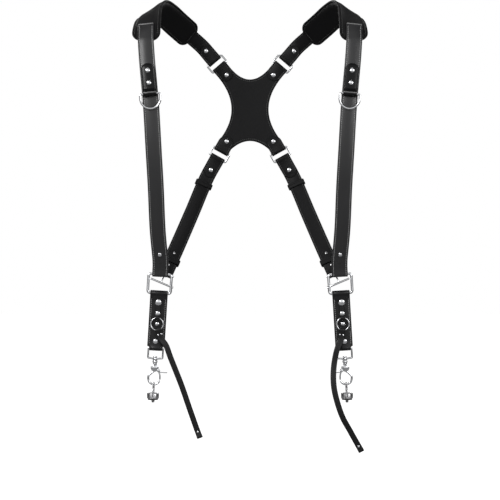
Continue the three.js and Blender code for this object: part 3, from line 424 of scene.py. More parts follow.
# %% Paths of the straps
CHEST_ROWS = [
    {"out": 0.08, "ahead": 0.74, "down": 0.806},
    {"out": 0.22, "ahead": 0.91, "down": 0.655},
    {"out": 0.43, "ahead": 0.985, "down": 0.530},
    {"out": 0.70, "ahead": 1.000, "down": 0.385},
    {"out": 0.95, "ahead": 0.970, "down": 0.300},
    {"out": 1.24, "ahead": 0.905, "down": 0.215},
]
waist_x, shoulder_x = WAIST_SPAN / 2, SHOULDER_SPAN / 2
chest = [vec(waist_x + (shoulder_x - waist_x) * r["out"], -r["ahead"] * CHEST_REACH, -r["down"] * WAIST_DROP)
         for r in CHEST_ROWS]
front_at, FRONT_LENGTH = strap_path(
    [(from_bar(WAIST_BAR, d), -HANG_LEAN) for d in (FOLD_CLEAR, FRONT_FLAP / 2)]
    + [(at, 0) for at in chest] + [on_pad(d) for d in spaced(0, SEAM_INSET, 5)])
upper_lift = 90 - math.degrees(UPPER_ARM_ANGLE)
upper_at, UPPER_LENGTH = strap_path(
    [on_pad(d) for d in spaced(PAD_END, PAD_LENGTH, 5)]
    + [(from_bar(UPPER_STRAP_BAR, d), upper_lift) for d in (BACK_FLAP, FOLD_CLEAR)])
lower_lift = math.degrees(LOWER_ARM_ANGLE) - 90
side_lift = math.degrees(math.atan2(SIDE_PULL.x, SIDE_PULL.z))
beside_ring, beside_hip = from_bar(LOWER_STRAP_BAR, LOWER_FLAP), from_bar(REAR, SIDE_FLAP)
body_side = (beside_ring + beside_hip) / 2 + BACKWARD * SIDE_BOW
lower_at, LOWER_LENGTH = strap_path([
    (from_bar(LOWER_STRAP_BAR, FOLD_CLEAR), lower_lift), (beside_ring, lower_lift),
    (body_side, (lower_lift + side_lift) / 2), (beside_hip, side_lift),
    (from_bar(REAR, FOLD_CLEAR), side_lift)])
print("straps:", round(FRONT_LENGTH), round(UPPER_LENGTH), round(LOWER_LENGTH), "mm")

# %% [markdown]
# A strap end is folded round its bar and riveted, so the leather is one piece from the tip of its
# turned-back end, round the bar and on along the body. The whole of that way is listed as stations, and
# a rounded section is drawn along it. That keeps the edge and the stitches running round the fold.


# %% One line of leather from its turned-back tip
RUN_OUT = 2.2


def fold_stations(bar, wire_width, leather, flap, across):
    """From the tip of the turned-back end, round the bar, to where the strap's own layer leaves it."""
    hole = wire_width / 2 + SLACK
    run_out = RUN_OUT * (hole + leather)
    near, layer, bulge = run_out * 0.82, leather / 2, 0.35
    spots = [(d, -layer, -90) for d in spaced(flap, run_out + 2, 6)]
    spots += [(near, -layer - bulge, -102)]
    spots += [(*polar(hole + layer, degrees), degrees) for degrees in range(-56, -305, -20)]
    spots += [(near, layer + bulge, -258), (run_out + 2, layer, -270)]
    return [bar_station(bar, x, y, degrees, across) for x, y, degrees in spots]


def smooth(stations, step):
    """Even, close stations through coarse ones."""
    points = [s["at"] for s in stations]
    fine = []
    for i, (here, ahead) in enumerate(zip(stations, stations[1:])):
        count = max(1, round((ahead["at"] - here["at"]).length / step))
        for w in (k / count for k in range(count)):
            fine.append(as_station(
                spline(points, (i + w) / (len(points) - 1)),
                here["face"].lerp(ahead["face"], w).normalized(),
                here["across"].lerp(ahead["across"], w).normalized()))
    fine.append(stations[-1])
    reach = 0
    for here, before in zip(fine, [fine[0]] + fine):
        reach += (here["at"] - before["at"]).length
        here["reach"] = reach
    return fine


def reach_at(line, reach):
    """The station at a distance along a line."""
    for a, b in zip(line, line[1:]):
        if reach <= b["reach"]:
            w = (reach - a["reach"]) / max(b["reach"] - a["reach"], 1e-9)
            return as_station(*(a[key].lerp(b[key], w) for key in ("at", "face", "across")))
    return line[-1]


print("a fold runs out", RUN_OUT, "times its bar and leather")


# %% Meshes
SHARP_FROM = 38


def mesh_object(name, points, faces, look):
    mesh = bpy.data.meshes.new(name)
    mesh.from_pydata([tuple(p * MM for p in point) for point in points], [], faces)
    mesh.polygons.foreach_set("use_smooth", [True] * len(mesh.polygons))
    mesh.set_sharp_from_angle(angle=math.radians(SHARP_FROM))
    mesh.materials.append(LOOKS[look])
    made = bpy.data.objects.new(name, mesh)
    scene.collection.objects.link(made)
    return made


def mirrored(points, faces, mirror):
    """Points and faces on either side of the body, with the faces kept turned outward."""
    if mirror > 0:
        return points, faces
    return [(-x, y, z) for x, y, z in points], [face[::-1] for face in faces]


def skin(rings, endless=False):
    """Joins rows of points, each with the same count, into one closed surface."""
    count = len(rings[0])
    points = [tuple(p) for ring in rings for p in ring]
    faces = []
    for r in range(len(rings) if endless else len(rings) - 1):
        here, there = r * count, ((r + 1) % len(rings)) * count
        for k in range(count):
            after = (k + 1) % count
            faces.append((here + k, here + after, there + after, there + k))
    if not endless:
        faces.append(tuple(range(count))[::-1])
        faces.append(tuple(range(len(points) - count, len(points))))
    return points, faces


def joined(*parts):
    """Several lots of points and faces as one."""
    points, faces = [], []
    for some_points, some_faces in parts:
        start = len(points)
        points += list(some_points)
        faces += [tuple(start + i for i in face) for face in some_faces]
    return points, faces


def circle(middle, x_way, y_way, radius, sides, shift=0.0):
    """Points round a middle, the first of them a share of one step on."""
    turns = (2 * math.pi * (k + shift) / sides for k in range(sides))
    return [middle + x_way * radius * math.cos(a) + y_way * radius * math.sin(a) for a in turns]


print("edges are sharp from", SHARP_FROM, "degrees")


# %% Sections of leather
def leather_section(half, thick, groove=3.2, depth=0.3, rounding=1.1):
    """Half a strap's width made into a closed outline: round edges and a groove for each row of stitches."""
    low, high = -thick / 2, thick / 2
    rounding = min(rounding, thick / 2 - 0.05, half * 0.45)
    side = []
    for middle, start in ((high - rounding, 90), (low + rounding, 0)):
        for k in range(5):
            x, y = polar(rounding, start - 22.5 * k)
            side.append((half - rounding + x, middle + y))
    inset = half - min(groove, half * 0.6)
    dip = [(inset + 0.7, 0), (inset + 0.25, -depth), (inset - 0.25, -depth), (inset - 0.7, 0)]
    right = [(x, high + d) for x, d in dip[::-1]] + side + [(x, low - d) for x, d in dip]
    return right + [(-x, y) for x, y in right[::-1]]


def section_at(station, outline):
    """An outline set across a line at one station."""
    return [station["at"] + station["across"] * x + station["face"] * y for x, y in outline]


def swept(line, half_at, thick, **section):
    """Leather along a line. half_at gives half the width at each distance."""
    return skin([section_at(station, leather_section(half_at(station["reach"]), thick, **section))
                 for station in line])


def always(value):
    """A width or place that is the same at each distance."""
    return lambda reach: value


def round_tip(width, blunt=0.35):
    """Half the width of a leather end that is rounded at reach 0."""
    def half_at(reach):
        if reach >= width / 2:
            return width / 2
        share = 1 - (1 - blunt) * (1 - 2 * reach / width) ** 2.2
        return width / 2 * max(share, 0.3)

    return half_at


print("leather section has", len(leather_section(STRAP_WIDTH / 2, STRAP_THICK)), "points")

# %% [markdown]
# A stitch is a short thread that is thin where it enters the leather and full in the middle. Real
# threads catch the light one by one, so each one is modelled and none of them is a dashed texture.

# %% Stitches
STITCH = {"long": 2.9, "pitch": 3.9, "thick": 0.9, "inset": 3.2, "sink": 0.1}
STITCH_PROFILE = ((0, 0.15), (0.12, 0.75), (0.5, 1), (0.88, 0.75), (1, 0.15))
STITCH_SIDES = 6


def stitch_row(line, side_at, level, start, end):
    """A row of short threads along a line. side_at gives the place across it."""
    parts = []
    reach = start
    while reach + STITCH["long"] < end:
        rings = []
        for share, fat in STITCH_PROFILE:
            station = reach_at(line, reach + share * STITCH["long"])
            across, face = station["across"], station["face"]
            middle = station["at"] + across * side_at(reach) + face * level
            rings.append(circle(middle, across, face, STITCH["thick"] / 2 * fat, STITCH_SIDES))
        parts.append(skin(rings))
        reach += STITCH["pitch"]
    return joined(*parts)


def stitched_edges(line, edge_at, levels, start, end):
    """A row near each edge, at each level. edge_at gives its distance from the middle."""
    return joined(*[stitch_row(line, lambda reach, s=s: s * edge_at(reach), level, start, end)
                    for s in (-1, 1) for level in levels])


def sided(name, side):
    return f"{side}_{name}" if side else name


def dress(name, shape, look, side=None, body=None):
    """Makes a piece that rides on the harness, or on a moving body of its side."""
    points, faces = mirrored(*shape, SIDES[side]) if side else shape
    made = mesh_object(sided(name, side), points, faces, look)
    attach(made, sided(body, side) if body else "harness")
    return made


def dress_node(node, form, shape, look, side=None, body=None):
    """Makes the piece that stands for a CAD node, in the given look, and hides that node."""
    made = dress(f"{node}_{form}", shape, look, side, body)
    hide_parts(sided(node, side))
    return made


print("stitches are", STITCH["pitch"], "mm apart")

# %% [markdown]
# The straps come first, because everything else hangs on them. Each is listed from the tip of its
# turned-back end to its other end, made smooth, and skinned. A stitch row runs in each groove, light
# grey on the satin straps as in the photograph and dark grey on the back straps.

# %% Front straps
STRAP_FACES = (STRAP_THICK / 2 - 0.12, 0.12 - STRAP_THICK / 2)
strap_edge = always(STRAP_WIDTH / 2 - STITCH["inset"])


def strap_side(bar, station):
    across = way(bar, 0, 0, 1)
    return across if across.dot(station["across"]) > 0 else -across


def strap_fold(bar, wire_width, flap, station):
    return fold_stations(bar, wire_width, STRAP_THICK, flap, strap_side(bar, station))


front_line = smooth(
    strap_fold(WAIST_BAR, WAIST_RING["wire"], FRONT_FLAP, front_at(0))
    + [front_at(d) for d in spaced(3, FRONT_LENGTH - 1.3 * SEAM_INSET, 30)]
    + [lifted(pad_at(d), PAD_STAND) for d in spaced(0, SEAM_INSET, 7)], 4)
front_shape = swept(front_line, round_tip(STRAP_WIDTH), STRAP_THICK)
front_stitches = stitched_edges(front_line, strap_edge, STRAP_FACES, 8, front_line[-1]["reach"] - 3)
for side in SIDES:
    dress_node("front_strap", "leather", front_shape, "satin_leather", side)
    dress("front_strap_stitches", front_stitches, "thread", side)
print("front strap:", len(front_line), "stations")

# %% Back straps
upper_line = smooth(
    strap_fold(UPPER_STRAP_BAR, YOKE_RING["wire"], BACK_FLAP, upper_at(UPPER_LENGTH))
    + [upper_at(d) for d in spaced(UPPER_LENGTH - 3, 1.2 * SEAM_INSET, 7)]
    + [lifted(pad_at(d), PAD_STAND) for d in spaced(PAD_LENGTH, PAD_END, 7)], 3)
lower_line = smooth(
    strap_fold(LOWER_STRAP_BAR, YOKE_RING["wire"], LOWER_FLAP, lower_at(0))
    + [lower_at(d) for d in spaced(3, LOWER_LENGTH - 3, 16)]
    + strap_fold(REAR, CROSS_WIRE, SIDE_FLAP, lower_at(LOWER_LENGTH))[::-1], 3)
lower_reach = lower_line[-1]["reach"]
near_tip, far_tip = round_tip(STRAP_WIDTH), round_tip(STRAP_WIDTH, blunt=0.2)
back_straps = {
    "upper_back_strap": (upper_line, near_tip),
    "lower_back_strap": (lower_line, lambda reach: min(near_tip(reach), far_tip(lower_reach - reach))),
}
for name, (line, half_at) in back_straps.items():
    shape = swept(line, half_at, STRAP_THICK)
    stitches = stitched_edges(line, strap_edge, STRAP_FACES, 8, line[-1]["reach"] - 8)
    for side in SIDES:
        dress_node(name, "leather", shape, "back_leather", side)
        dress(f"{name}_stitches", stitches, "dull_thread", side)
print("lower back strap is", round(lower_reach), "mm from tip to tip")

# %% [markdown]
# A shoulder pad is foam between two leathers, sewn together near the rim. So its middle is full, its
# rim is thin and rolled, and a row of stitches pulls a groove all the way round.

# %% Shoulder pads
PAD_GROOVE, PAD_STITCH_UP = 5.0, 0.1


def pad_half(distance):
    """Half the pad's width, with its round corners."""
    inset = min(distance, PAD_LENGTH - distance, PAD_CORNER)
    fall = PAD_CORNER - inset
    return PAD_WIDTH / 2 - PAD_CORNER + math.sqrt(max(PAD_CORNER ** 2 - fall ** 2, 0))


def pad_level(distance, sideways):
    """How far the leather stands off the pad's middle layer, from its distance to the nearest rim."""
    rim = min(pad_half(distance) - abs(sideways), distance, PAD_LENGTH - distance)
    rolled = PAD_RIM / 2 * math.sqrt(max(0, 1 - max(0, 1 - rim / 1.8) ** 2))
    full = (PAD_THICK - PAD_RIM) / 2 * min(1, max(0, rim - PAD_GROOVE) / 6) ** 0.55
    dip = 0.7 * math.exp(-((rim - PAD_GROOVE) / 1.0) ** 2)
    return rolled + full - dip


def pad_shape():
    turns = (0, 6, 12, 20, 28, 36, 45, 54, 63, 72, 81)
    ends = [PAD_CORNER * (1 - math.cos(math.radians(a))) for a in turns]
    middles = spaced(PAD_CORNER, PAD_LENGTH - PAD_CORNER, 60)
    rings = []
    for distance in ends + middles + [PAD_LENGTH - e for e in reversed(ends)]:
        station = pad_at(distance)
        top, bottom = [], []
        for degrees in range(-90, 91, 6):
            x = math.sin(math.radians(degrees)) * pad_half(distance)
            stand = station["face"] * pad_level(distance, x)
            middle = station["at"] + station["across"] * x
            top.append(middle + stand)
            bottom.append(middle - stand)
        rings.append(top + bottom[::-1][1:-1])
    return skin(rings)


def pad_line(inset, level):
    """A closed line of stations at one distance inside the pad's rim."""
    corner, half = PAD_CORNER - inset, PAD_WIDTH / 2 - inset
    low, high = inset + corner, PAD_LENGTH - inset - corner
    edge = spaced(low + 6, high - 6, 36)
    spots = []
    for sx, middle, first in ((1, high, 0), (-1, high, 90), (-1, low, 180), (1, low, 270)):
        turns = (polar(corner, first + 15 * k) for k in range(7))
        spots += [(sx * (half - corner) + x, middle + y) for x, y in turns]
        if first == 90:
            spots += [(-half, d) for d in edge[::-1]]
        if first == 270:
            spots += [(half, d) for d in edge]
    spots.append(spots[0])
    stations = []
    for x, distance in spots:
        base = pad_at(distance)
        face = base["face"] * math.copysign(1, level)
        stations.append((base["at"] + base["across"] * x + base["face"] * level, face))
    return with_reach(stations)


def with_reach(stations):
    """Stations of place and face, with the way across them and the distance along them."""
    line = []
    reach = 0
    for i, (at, face) in enumerate(stations):
        ahead = stations[min(i + 1, len(stations) - 1)][0] - stations[max(i - 1, 0)][0]
        reach += (at - stations[max(i - 1, 0)][0]).length
        line.append({**as_station(at, face, face.cross(ahead.normalized()).normalized()), "reach": reach})
    return line


pad_leather = pad_shape()
groove_level = pad_level(PAD_LENGTH / 2, PAD_WIDTH / 2 - PAD_GROOVE) + PAD_STITCH_UP
rims = [pad_line(PAD_GROOVE, level) for level in (groove_level, -groove_level)]
pad_stitches = joined(*[stitch_row(rim, always(0), 0, 0, rim[-1]["reach"]) for rim in rims])
for side in SIDES:
    pad = dress_node("shoulder_pad", "leather", pad_leather, "pad_leather", side)
    dress("shoulder_pad_stitches", pad_stitches, "dull_thread", side)
print("pad stitches run", round(rims[0][-1]["reach"]), "mm round the rim")

# %% [markdown]
# The yoke is cut from one hide in the shape of an X. Its four curved sides are parabolas between the
# arms, and each arm folds round the inner bar of a ring. A flat curve with a small bevel gives the plate
# its rounded edge, and the folded arms are swept like the straps.

# %% Back yoke
YOKE_START = RUN_OUT * (YOKE_RING["wire"] / 2 + SLACK + YOKE_THICK)
YOKE_MIDDLE = BACK_REACH + YOKE_THICK / 2
YOKE_STEPS, YOKE_BEVEL, YOKE_STITCH_INSET = 28, 1.1, 4
ARM_BARS = {"upper": UPPER_ARM_BAR, "lower": LOWER_ARM_BAR}


def to_left(place):
    return -place[0], place[1]


def parabola(start, end, middle):
    """A curve from start to end that passes through middle half way."""
    bend = [2 * m - (a + b) / 2 for m, a, b in zip(middle, start, end)]
    return [tuple((1 - t) ** 2 * a + 2 * t * (1 - t) * c + t * t * b for a, c, b in zip(start, bend, end))
            for t in spaced(0, 1, YOKE_STEPS)]


def yoke_outline():
    """The plate's outline in the XZ plane, clockwise from the upper left arm."""
    ends = []
    for bar in ARM_BARS.values():
        pair = sorted((bar @ vec(YOKE_START, 0, s * ARM_WIDTH / 2) for s in (-1, 1)), key=lambda p: p.x)
        ends.append([(p.x, p.z) for p in pair])
    (upper_in, upper_out), (lower_in, lower_out) = ends
    waist = (YOKE_WAIST / 2, (upper_out[1] + lower_out[1]) / 2)
    return [parabola(to_left(upper_in), upper_in, (0, -UPPER_VALLEY)),
            parabola(upper_out, lower_out, waist),
            parabola(lower_in, to_left(lower_in), (0, -LOWER_VALLEY)),
            parabola(to_left(lower_out), to_left(upper_out), to_left(waist))]


def plate_of_curve(name, outline, thick, bevel):
    """A flat plate of an outline in the XZ plane, with round edges, as points and faces in mm."""
    flat = bpy.data.curves.new(name, "CURVE")
    flat.dimensions = "2D"
    flat.fill_mode = "BOTH"
    flat.extrude = thick / 2 - bevel
    flat.bevel_depth = bevel
    flat.bevel_resolution = 3
    flat.offset = -bevel
    line = flat.splines.new("POLY")
    line.points.add(len(outline) - 1)
    for point, (x, z) in zip(line.points, outline):
        point.co = (x, z, 0, 1)
    line.use_cyclic_u = True
    holder = bpy.data.objects.new(name, flat)
    scene.collection.objects.link(holder)
    mesh = bpy.data.meshes.new_from_object(holder.evaluated_get(bpy.context.evaluated_depsgraph_get()))
    points = [(v.co.x, YOKE_MIDDLE - v.co.z, v.co.y) for v in mesh.vertices]
    faces = [tuple(face.vertices) for face in mesh.polygons]
    bpy.data.objects.remove(holder)
    bpy.data.meshes.remove(mesh)
    return points, faces


outline_curves = yoke_outline()
outline_points = [p for curve in outline_curves for p in curve]
yoke_parts = [plate_of_curve("yoke", outline_points, YOKE_THICK, YOKE_BEVEL)]
yoke_stitches = []
print("yoke plate:", len(outline_points), "points round its outline")

# %% Arms and stitches of the yoke
for bar in ARM_BARS.values():
    across = way(bar, 0, 0, 1)
    own = [as_station(bar @ vec(YOKE_START + d, YOKE_THICK / 2, 0), BACKWARD, across)
           for d in spaced(3, 6, 2)]
    line = smooth(fold_stations(bar, YOKE_RING["wire"], YOKE_THICK, ARM_FLAP, across) + own, 2)
    arm = swept(line, round_tip(ARM_WIDTH), YOKE_THICK)
    levels = (YOKE_THICK / 2 - STITCH["sink"],)
    row = stitched_edges(line, always(ARM_WIDTH / 2 - STITCH["inset"]), levels, 10, line[-1]["reach"])
    for mirror in (1, -1):
        yoke_parts.append(mirrored(*arm, mirror))
        yoke_stitches.append(mirrored(*row, mirror))
for curve in outline_curves:
    inner = []
    for i, (x, z) in enumerate(curve):
        ahead, behind = curve[min(i + 1, YOKE_STEPS)], curve[max(i - 1, 0)]
        outside = vec(ahead[0] - behind[0], 0, ahead[1] - behind[1]).normalized().cross(BACKWARD)
        at = vec(x, YOKE_MIDDLE, z) - outside * YOKE_STITCH_INSET
        inner.append(as_station(at, BACKWARD, outside))
    line = smooth(inner, 3)
    yoke_stitches += [stitch_row(line, always(0), level, 2, line[-1]["reach"] - 1)
                      for level in (YOKE_THICK / 2, -YOKE_THICK / 2)]
dress_node("back_yoke", "leather", joined(*yoke_parts), "back_leather")
dress("back_yoke_stitches", joined(*yoke_stitches), "dull_thread")
stitch_points = STITCH_SIDES * len(STITCH_PROFILE)
print("yoke stitches:", sum(len(points) for points, faces in yoke_stitches) // stitch_points)

# %% [markdown]
# Rings, hooks and bails are bent from round wire. A wire is a circle carried along a line of corners
# and arcs, with enough sides to look round in a close view. Its line is the same as the CAD wire's.


# %% Round wire
def arc(middle, radius, start, end, steps):
    spots = (polar(radius, degrees) for degrees in spaced(start, end, steps))
    return [vec(middle[0] + x, middle[1] + y, 0) for x, y in spots]


def rounded_rectangle(width, height, corner, steps=6):
    points = []
    for x, y, start in ((1, 1, 0), (-1, 1, 90), (-1, -1, 180), (1, -1, 270)):
        points += arc((x * (width / 2 - corner), y * (height / 2 - corner)), corner, start, start + 90, steps)
    return points


def wire(points, diameter, place, endless=True, sides=16, thick_at=always(1)):
    """A round wire along points of its local XY plane, put in place by a matrix."""
    rings = []
    last = len(points) - 1
    for i, point in enumerate(points):
        before = points[i - 1] if endless or i else points[0]
        after = points[(i + 1) % len(points)] if endless or i < last else points[last]
        side = (after - before).normalized().cross(UP)
        ring = circle(point, side, UP, diameter / 2 * thick_at(i / last), sides, 0.5)
        rings.append([place @ p for p in ring])
    return skin(rings, endless)


def rod(radius, start, end, sides=24, soft=0.3, bore=0):
    """A cylinder between two places, with slightly rounded rims."""
    axis = (end - start).normalized()
    side = axis.orthogonal().normalized()
    length = (end - start).length
    soft = min(soft, radius * 0.45, length * 0.45)
    rim = [(radius - soft, 0), (radius - 0.3 * soft, 0.3 * soft), (radius, soft)]
    profile = rim + [(r, length - up) for r, up in rim[::-1]]
    if bore:
        profile = [(bore, 0)] + profile + [(bore, length)]
    rings = [circle(start + axis * up, side, axis.cross(side), r, sides) for r, up in profile]
    return skin(rings, endless=bool(bore))


def turned(profile, place, sides=32, endless=False):
    """A turned body about local Z, from rows of radius and height."""
    rings = [[place @ p for p in circle(UP * up, SIDEWAYS, BACKWARD, r, sides)] for r, up in profile]
    return skin(rings, endless)


def ring_place(at, pull):
    return frame_at(at, vec(pull.z, 0, -pull.x), pull)


print("a quarter turn of wire has", len(arc((0, 0), 1, 0, 90, 6)), "stations")

# %% Rings of the yoke and the waist
ring_points = rounded_rectangle(YOKE_RING["width"] - YOKE_RING["wire"], 2 * RING_HALF, YOKE_RING["corner"])
yoke_rings = {"upper": ring_place(UPPER_RING, UPPER_PULL), "lower": ring_place(LOWER_RING, LOWER_PULL)}
UPRIGHT = Matrix.Rotation(math.pi / 2, 4, "X")
waist_width = WAIST_RING["width"] - WAIST_RING["wire"]
waist_points = rounded_rectangle(waist_width, 2 * WAIST_HALF, WAIST_RING["corner"])
bar_way = way(REAR, 0, 0, 1)
bar_way_in_ring = HANG.inverted().to_3x3() @ bar_way
to_sides = [(waist_width / 2 + s * CROSS_IN) / abs(bar_way_in_ring.x) for s in (-1, 1)]
if bar_way_in_ring.x > 0:
    to_sides = to_sides[::-1]
rear_half = bar_way * REAR_BAR / 2
post_end = POST_FOOT + SIDE_PULL * POST
waist_casting = joined(
    wire(waist_points, WAIST_RING["wire"], HANG @ UPRIGHT),
    rod(CROSS_WIRE / 2, POST_FOOT - bar_way * to_sides[0], POST_FOOT + bar_way * to_sides[1], soft=0.1),
    rod(POST_WIRE / 2, POST_FOOT, post_end, soft=0.1),
    rod(CROSS_WIRE / 2, post_end - rear_half, post_end + rear_half, soft=0.6))
for side in SIDES:
    for name, place in yoke_rings.items():
        dress_node(f"yoke_ring_{name}", "wire", wire(ring_points, YOKE_RING["wire"], place), "chrome", side)
    dress_node("waist_ring", "casting", waist_casting, "chrome", side)
print("ring wires:", YOKE_RING["wire"], "and", WAIST_RING["wire"], "mm")

# %% [markdown]
# The keeper is one strip of leather that goes down the strap, round the D-ring's bar and up again over
# itself, with two rivets through all the layers. The D-ring hangs in its fold, so it rides on a body of
# its own.

# %% Keepers and D-rings
KEEPER = {"width": 24.5, "thick": 2, "length": 56, "tip": 11, "drop": 172, "stitch_inset": 2.6}
D_RING = {"width": 39.8, "wire": 4, "side": 8.6}
low, high = 0, FRONT_LENGTH
for _ in range(40):
    middle = (low + high) / 2
    low, high = (middle, high) if front_at(middle)["at"].z < -KEEPER["drop"] else (low, middle)
KEEPER_AT = low
keeper_base = front_at(KEEPER_AT)
d_hole = D_RING["wire"] / 2 + SLACK
bar_level = STRAP_THICK / 2 + SEAT_GAP + d_hole + KEEPER["thick"]
D_BAR = lifted(keeper_base, bar_level)["at"]
KEEPER_FRAME = frame_at(D_BAR, keeper_base["along"], keeper_base["face"])


def keeper_line():
    """Down the strap, round the D-ring's bar and up again over itself."""
    thick, end = KEEPER["thick"], KEEPER_AT + KEEPER["length"]
    inner = STRAP_THICK / 2 + SEAT_GAP + thick / 2 + 0.02
    line = []
    for station in (lifted(front_at(d), inner) for d in spaced(end, KEEPER_AT + 3, 14)):
        line.append(as_station(station["at"], -station["face"], station["across"]))
    spots = [(*polar(d_hole + thick / 2, a), a) for a in (270, 240, 210, 180, 150, 120, 95, 72)]
    spots.append((5.2, 0.9, 60))
    line += [bar_station(KEEPER_FRAME, x, y, degrees, keeper_base["across"]) for x, y, degrees in spots]
    for station in (lifted(front_at(d), inner + thick) for d in spaced(KEEPER_AT + 10, end, 14)):
        line.append(as_station(station["at"], station["face"], station["across"]))
    return smooth(line, 1.5)


def d_points(width, diameter, side, steps=28):
    """A D in the XY plane: its bar along X through the origin, its bow towards -Y."""
    half, corner = (width - diameter) / 2, 0.75 * diameter
    points = arc((half - corner, -corner), corner, 90, 0, 6)
    points += arc((0, -side), half, 0, -180, steps)
    return points + arc((-half + corner, -corner), corner, 180, 90, 6)


keeper = keeper_line()
keeper_reach = keeper[-1]["reach"]


def keeper_half(reach):
    past = max(KEEPER["tip"] - min(reach, keeper_reach - reach), 0) / KEEPER["tip"]
    return KEEPER["width"] / 2 * math.sqrt(1 - 0.92 * past ** 2.2)


keeper_shape = swept(
    keeper, keeper_half, KEEPER["thick"], groove=KEEPER["stitch_inset"], depth=0.2, rounding=0.8)
keeper_stitches = stitched_edges(
    keeper, lambda reach: keeper_half(reach) - KEEPER["stitch_inset"],
    (KEEPER["thick"] / 2 - STITCH["sink"],), keeper_reach / 2 + 8, keeper_reach - 5)
d_place = frame_at(D_BAR, keeper_base["across"], UP)
d_shape = wire(d_points(D_RING["width"], D_RING["wire"], D_RING["side"]), D_RING["wire"], d_place)
for side in SIDES:
    # the keeper's darker leather is painted shade
    dress_node("ring_keeper", "leather", keeper_shape, "keeper_leather", side)
    dress("ring_keeper_stitches", keeper_stitches, "dark_thread", side)
    dress_node("d_ring", "wire", d_shape, "chrome", side, body="d_ring")
print("keeper starts", round(KEEPER_AT), "mm up the front strap")

# %% [markdown]
# Two loops of leather hold the lower back strap's ends down. Each is a short strip whose ends meet on
# the inner side, so it is swept round a rounded rectangle.

# %% Loops on the lower back strap
BAND = {"leather": 2, "length": 10, "slack": 0.7, "corner": 1.6, "upper": 48, "lower": 18}


def band(distance, level, layers):
    """A loop round one or more layers of the lower back strap."""
    base = lifted(lower_at(distance), level)
    turn = turned_frame(base["across"], base["face"], base["across"].cross(base["face"]))
    place = Matrix.Translation(base["at"]) @ turn
    wide = STRAP_WIDTH + 2 * BAND["slack"] + BAND["leather"]
    high = layers * STRAP_THICK + 2 * BAND["slack"] + BAND["leather"]
    points = rounded_rectangle(wide, high, BAND["corner"], 5)
    outline = leather_section(BAND["length"] / 2, BAND["leather"], groove=2.2, depth=0.15, rounding=0.8)
    rings = []
    for i, point in enumerate(points):
        out = (points[(i + 1) % len(points)] - points[i - 1]).normalized().cross(UP)
        rings.append([place @ (point + UP * x + out * y) for x, y in outline])
    return skin(rings, endless=True)


bands = {"upper": band(BAND["upper"], 0, 1), "lower": band(LOWER_LENGTH - BAND["lower"], -STRAP_THICK / 2, 2)}
for side in SIDES:
    for name, shape in bands.items():
        dress_node(f"strap_loop_{name}", "leather", shape, "back_leather", side)
print("loops are", BAND["length"], "mm wide")

# %% [markdown]
# Below the waist ring everything hangs in the frame of that ring, which leans a little outward. The tab
# is a closed loop of leather: down the front, round the swivel loop's top bar and up the back. It is
# narrow where it passes through the swivel loop.

# %% Drop tabs
TAB = {"width": 32, "thick": 2.8, "length": 101, "neck": 23.4, "neck_length": 3}
LOOP = {"width": 30.2, "height": 21.8, "wire": 3.3, "dip": 1.6}
TAB_TOP = -WAIST_HALF
TAB_FOOT = TAB_TOP - TAB["length"]
HANG_SECTION = HANG @ turned_frame(BACKWARD, UP, SIDEWAYS)


def tab_line():
    """Down the front, round the swivel loop's bar, up the back and round the waist ring's bar."""
    half = TAB["thick"] / 2
    top, foot = WAIST_RING["wire"] / 2 + SLACK + half, LOOP["wire"] / 2 + SLACK + half
    layer = spaced(TAB_TOP - 14, TAB_FOOT + 12, 20)
    spots = [(-half, z, 180) for z in layer]
    for degrees in range(-220, 41, 20):
        y, z = polar(foot, degrees)
        spots.append((y, TAB_FOOT + z, degrees))
    spots += [(half, z, 0) for z in layer[::-1]]
    for degrees in range(-40, 221, 20):
        y, z = polar(top, degrees)
        spots.append((y, TAB_TOP + z, degrees))
    stations = [bar_station(HANG_SECTION, *spot) for spot in spots]
    return smooth(stations + [stations[0]], 2.5)[:-1]


def tab_half(z):
    """Half the tab's width, which eases in to the neck near its foot."""
    share = min(1, max(0, (z - TAB_FOOT - TAB["neck_length"]) / 2 + 0.5))
    share = share * share * (3 - 2 * share)
    return (TAB["neck"] + (TAB["width"] - TAB["neck"]) * share) / 2


def tab_face(way_out):
    """The stations of the tab's front or back layer, for its stitches."""
    heights = spaced(TAB_TOP - 8, TAB_FOOT + TAB["neck_length"] + 2, 30)
    facing_out, across, level = way(HANG, 0, way_out, 0), way(HANG, 1, 0, 0), way_out * TAB["thick"] / 2
    return [{**as_station(HANG @ vec(0, level, z), facing_out, across), "reach": TAB_TOP - z}
            for z in heights]


to_hang = HANG.inverted()
tab_rings = [section_at(station, leather_section(tab_half((to_hang @ station["at"]).z), TAB["thick"]))
             for station in tab_line()]
tab_shape = skin(tab_rings, endless=True)
tab_stitches = joined(*[
    stitched_edges(face, always(TAB["width"] / 2 - STITCH["inset"]), (TAB["thick"] / 2 - STITCH["sink"],),
                   8, face[-1]["reach"]) for face in (tab_face(-1), tab_face(1))])
for side in SIDES:
    dress_node("drop_tab", "leather", tab_shape, "tab_leather", side)
    dress("drop_tab_stitches", tab_stitches, "thread", side)
print("tab hangs from", round(TAB_TOP, 1), "to", round(TAB_FOOT, 1), "mm below the ring's middle")

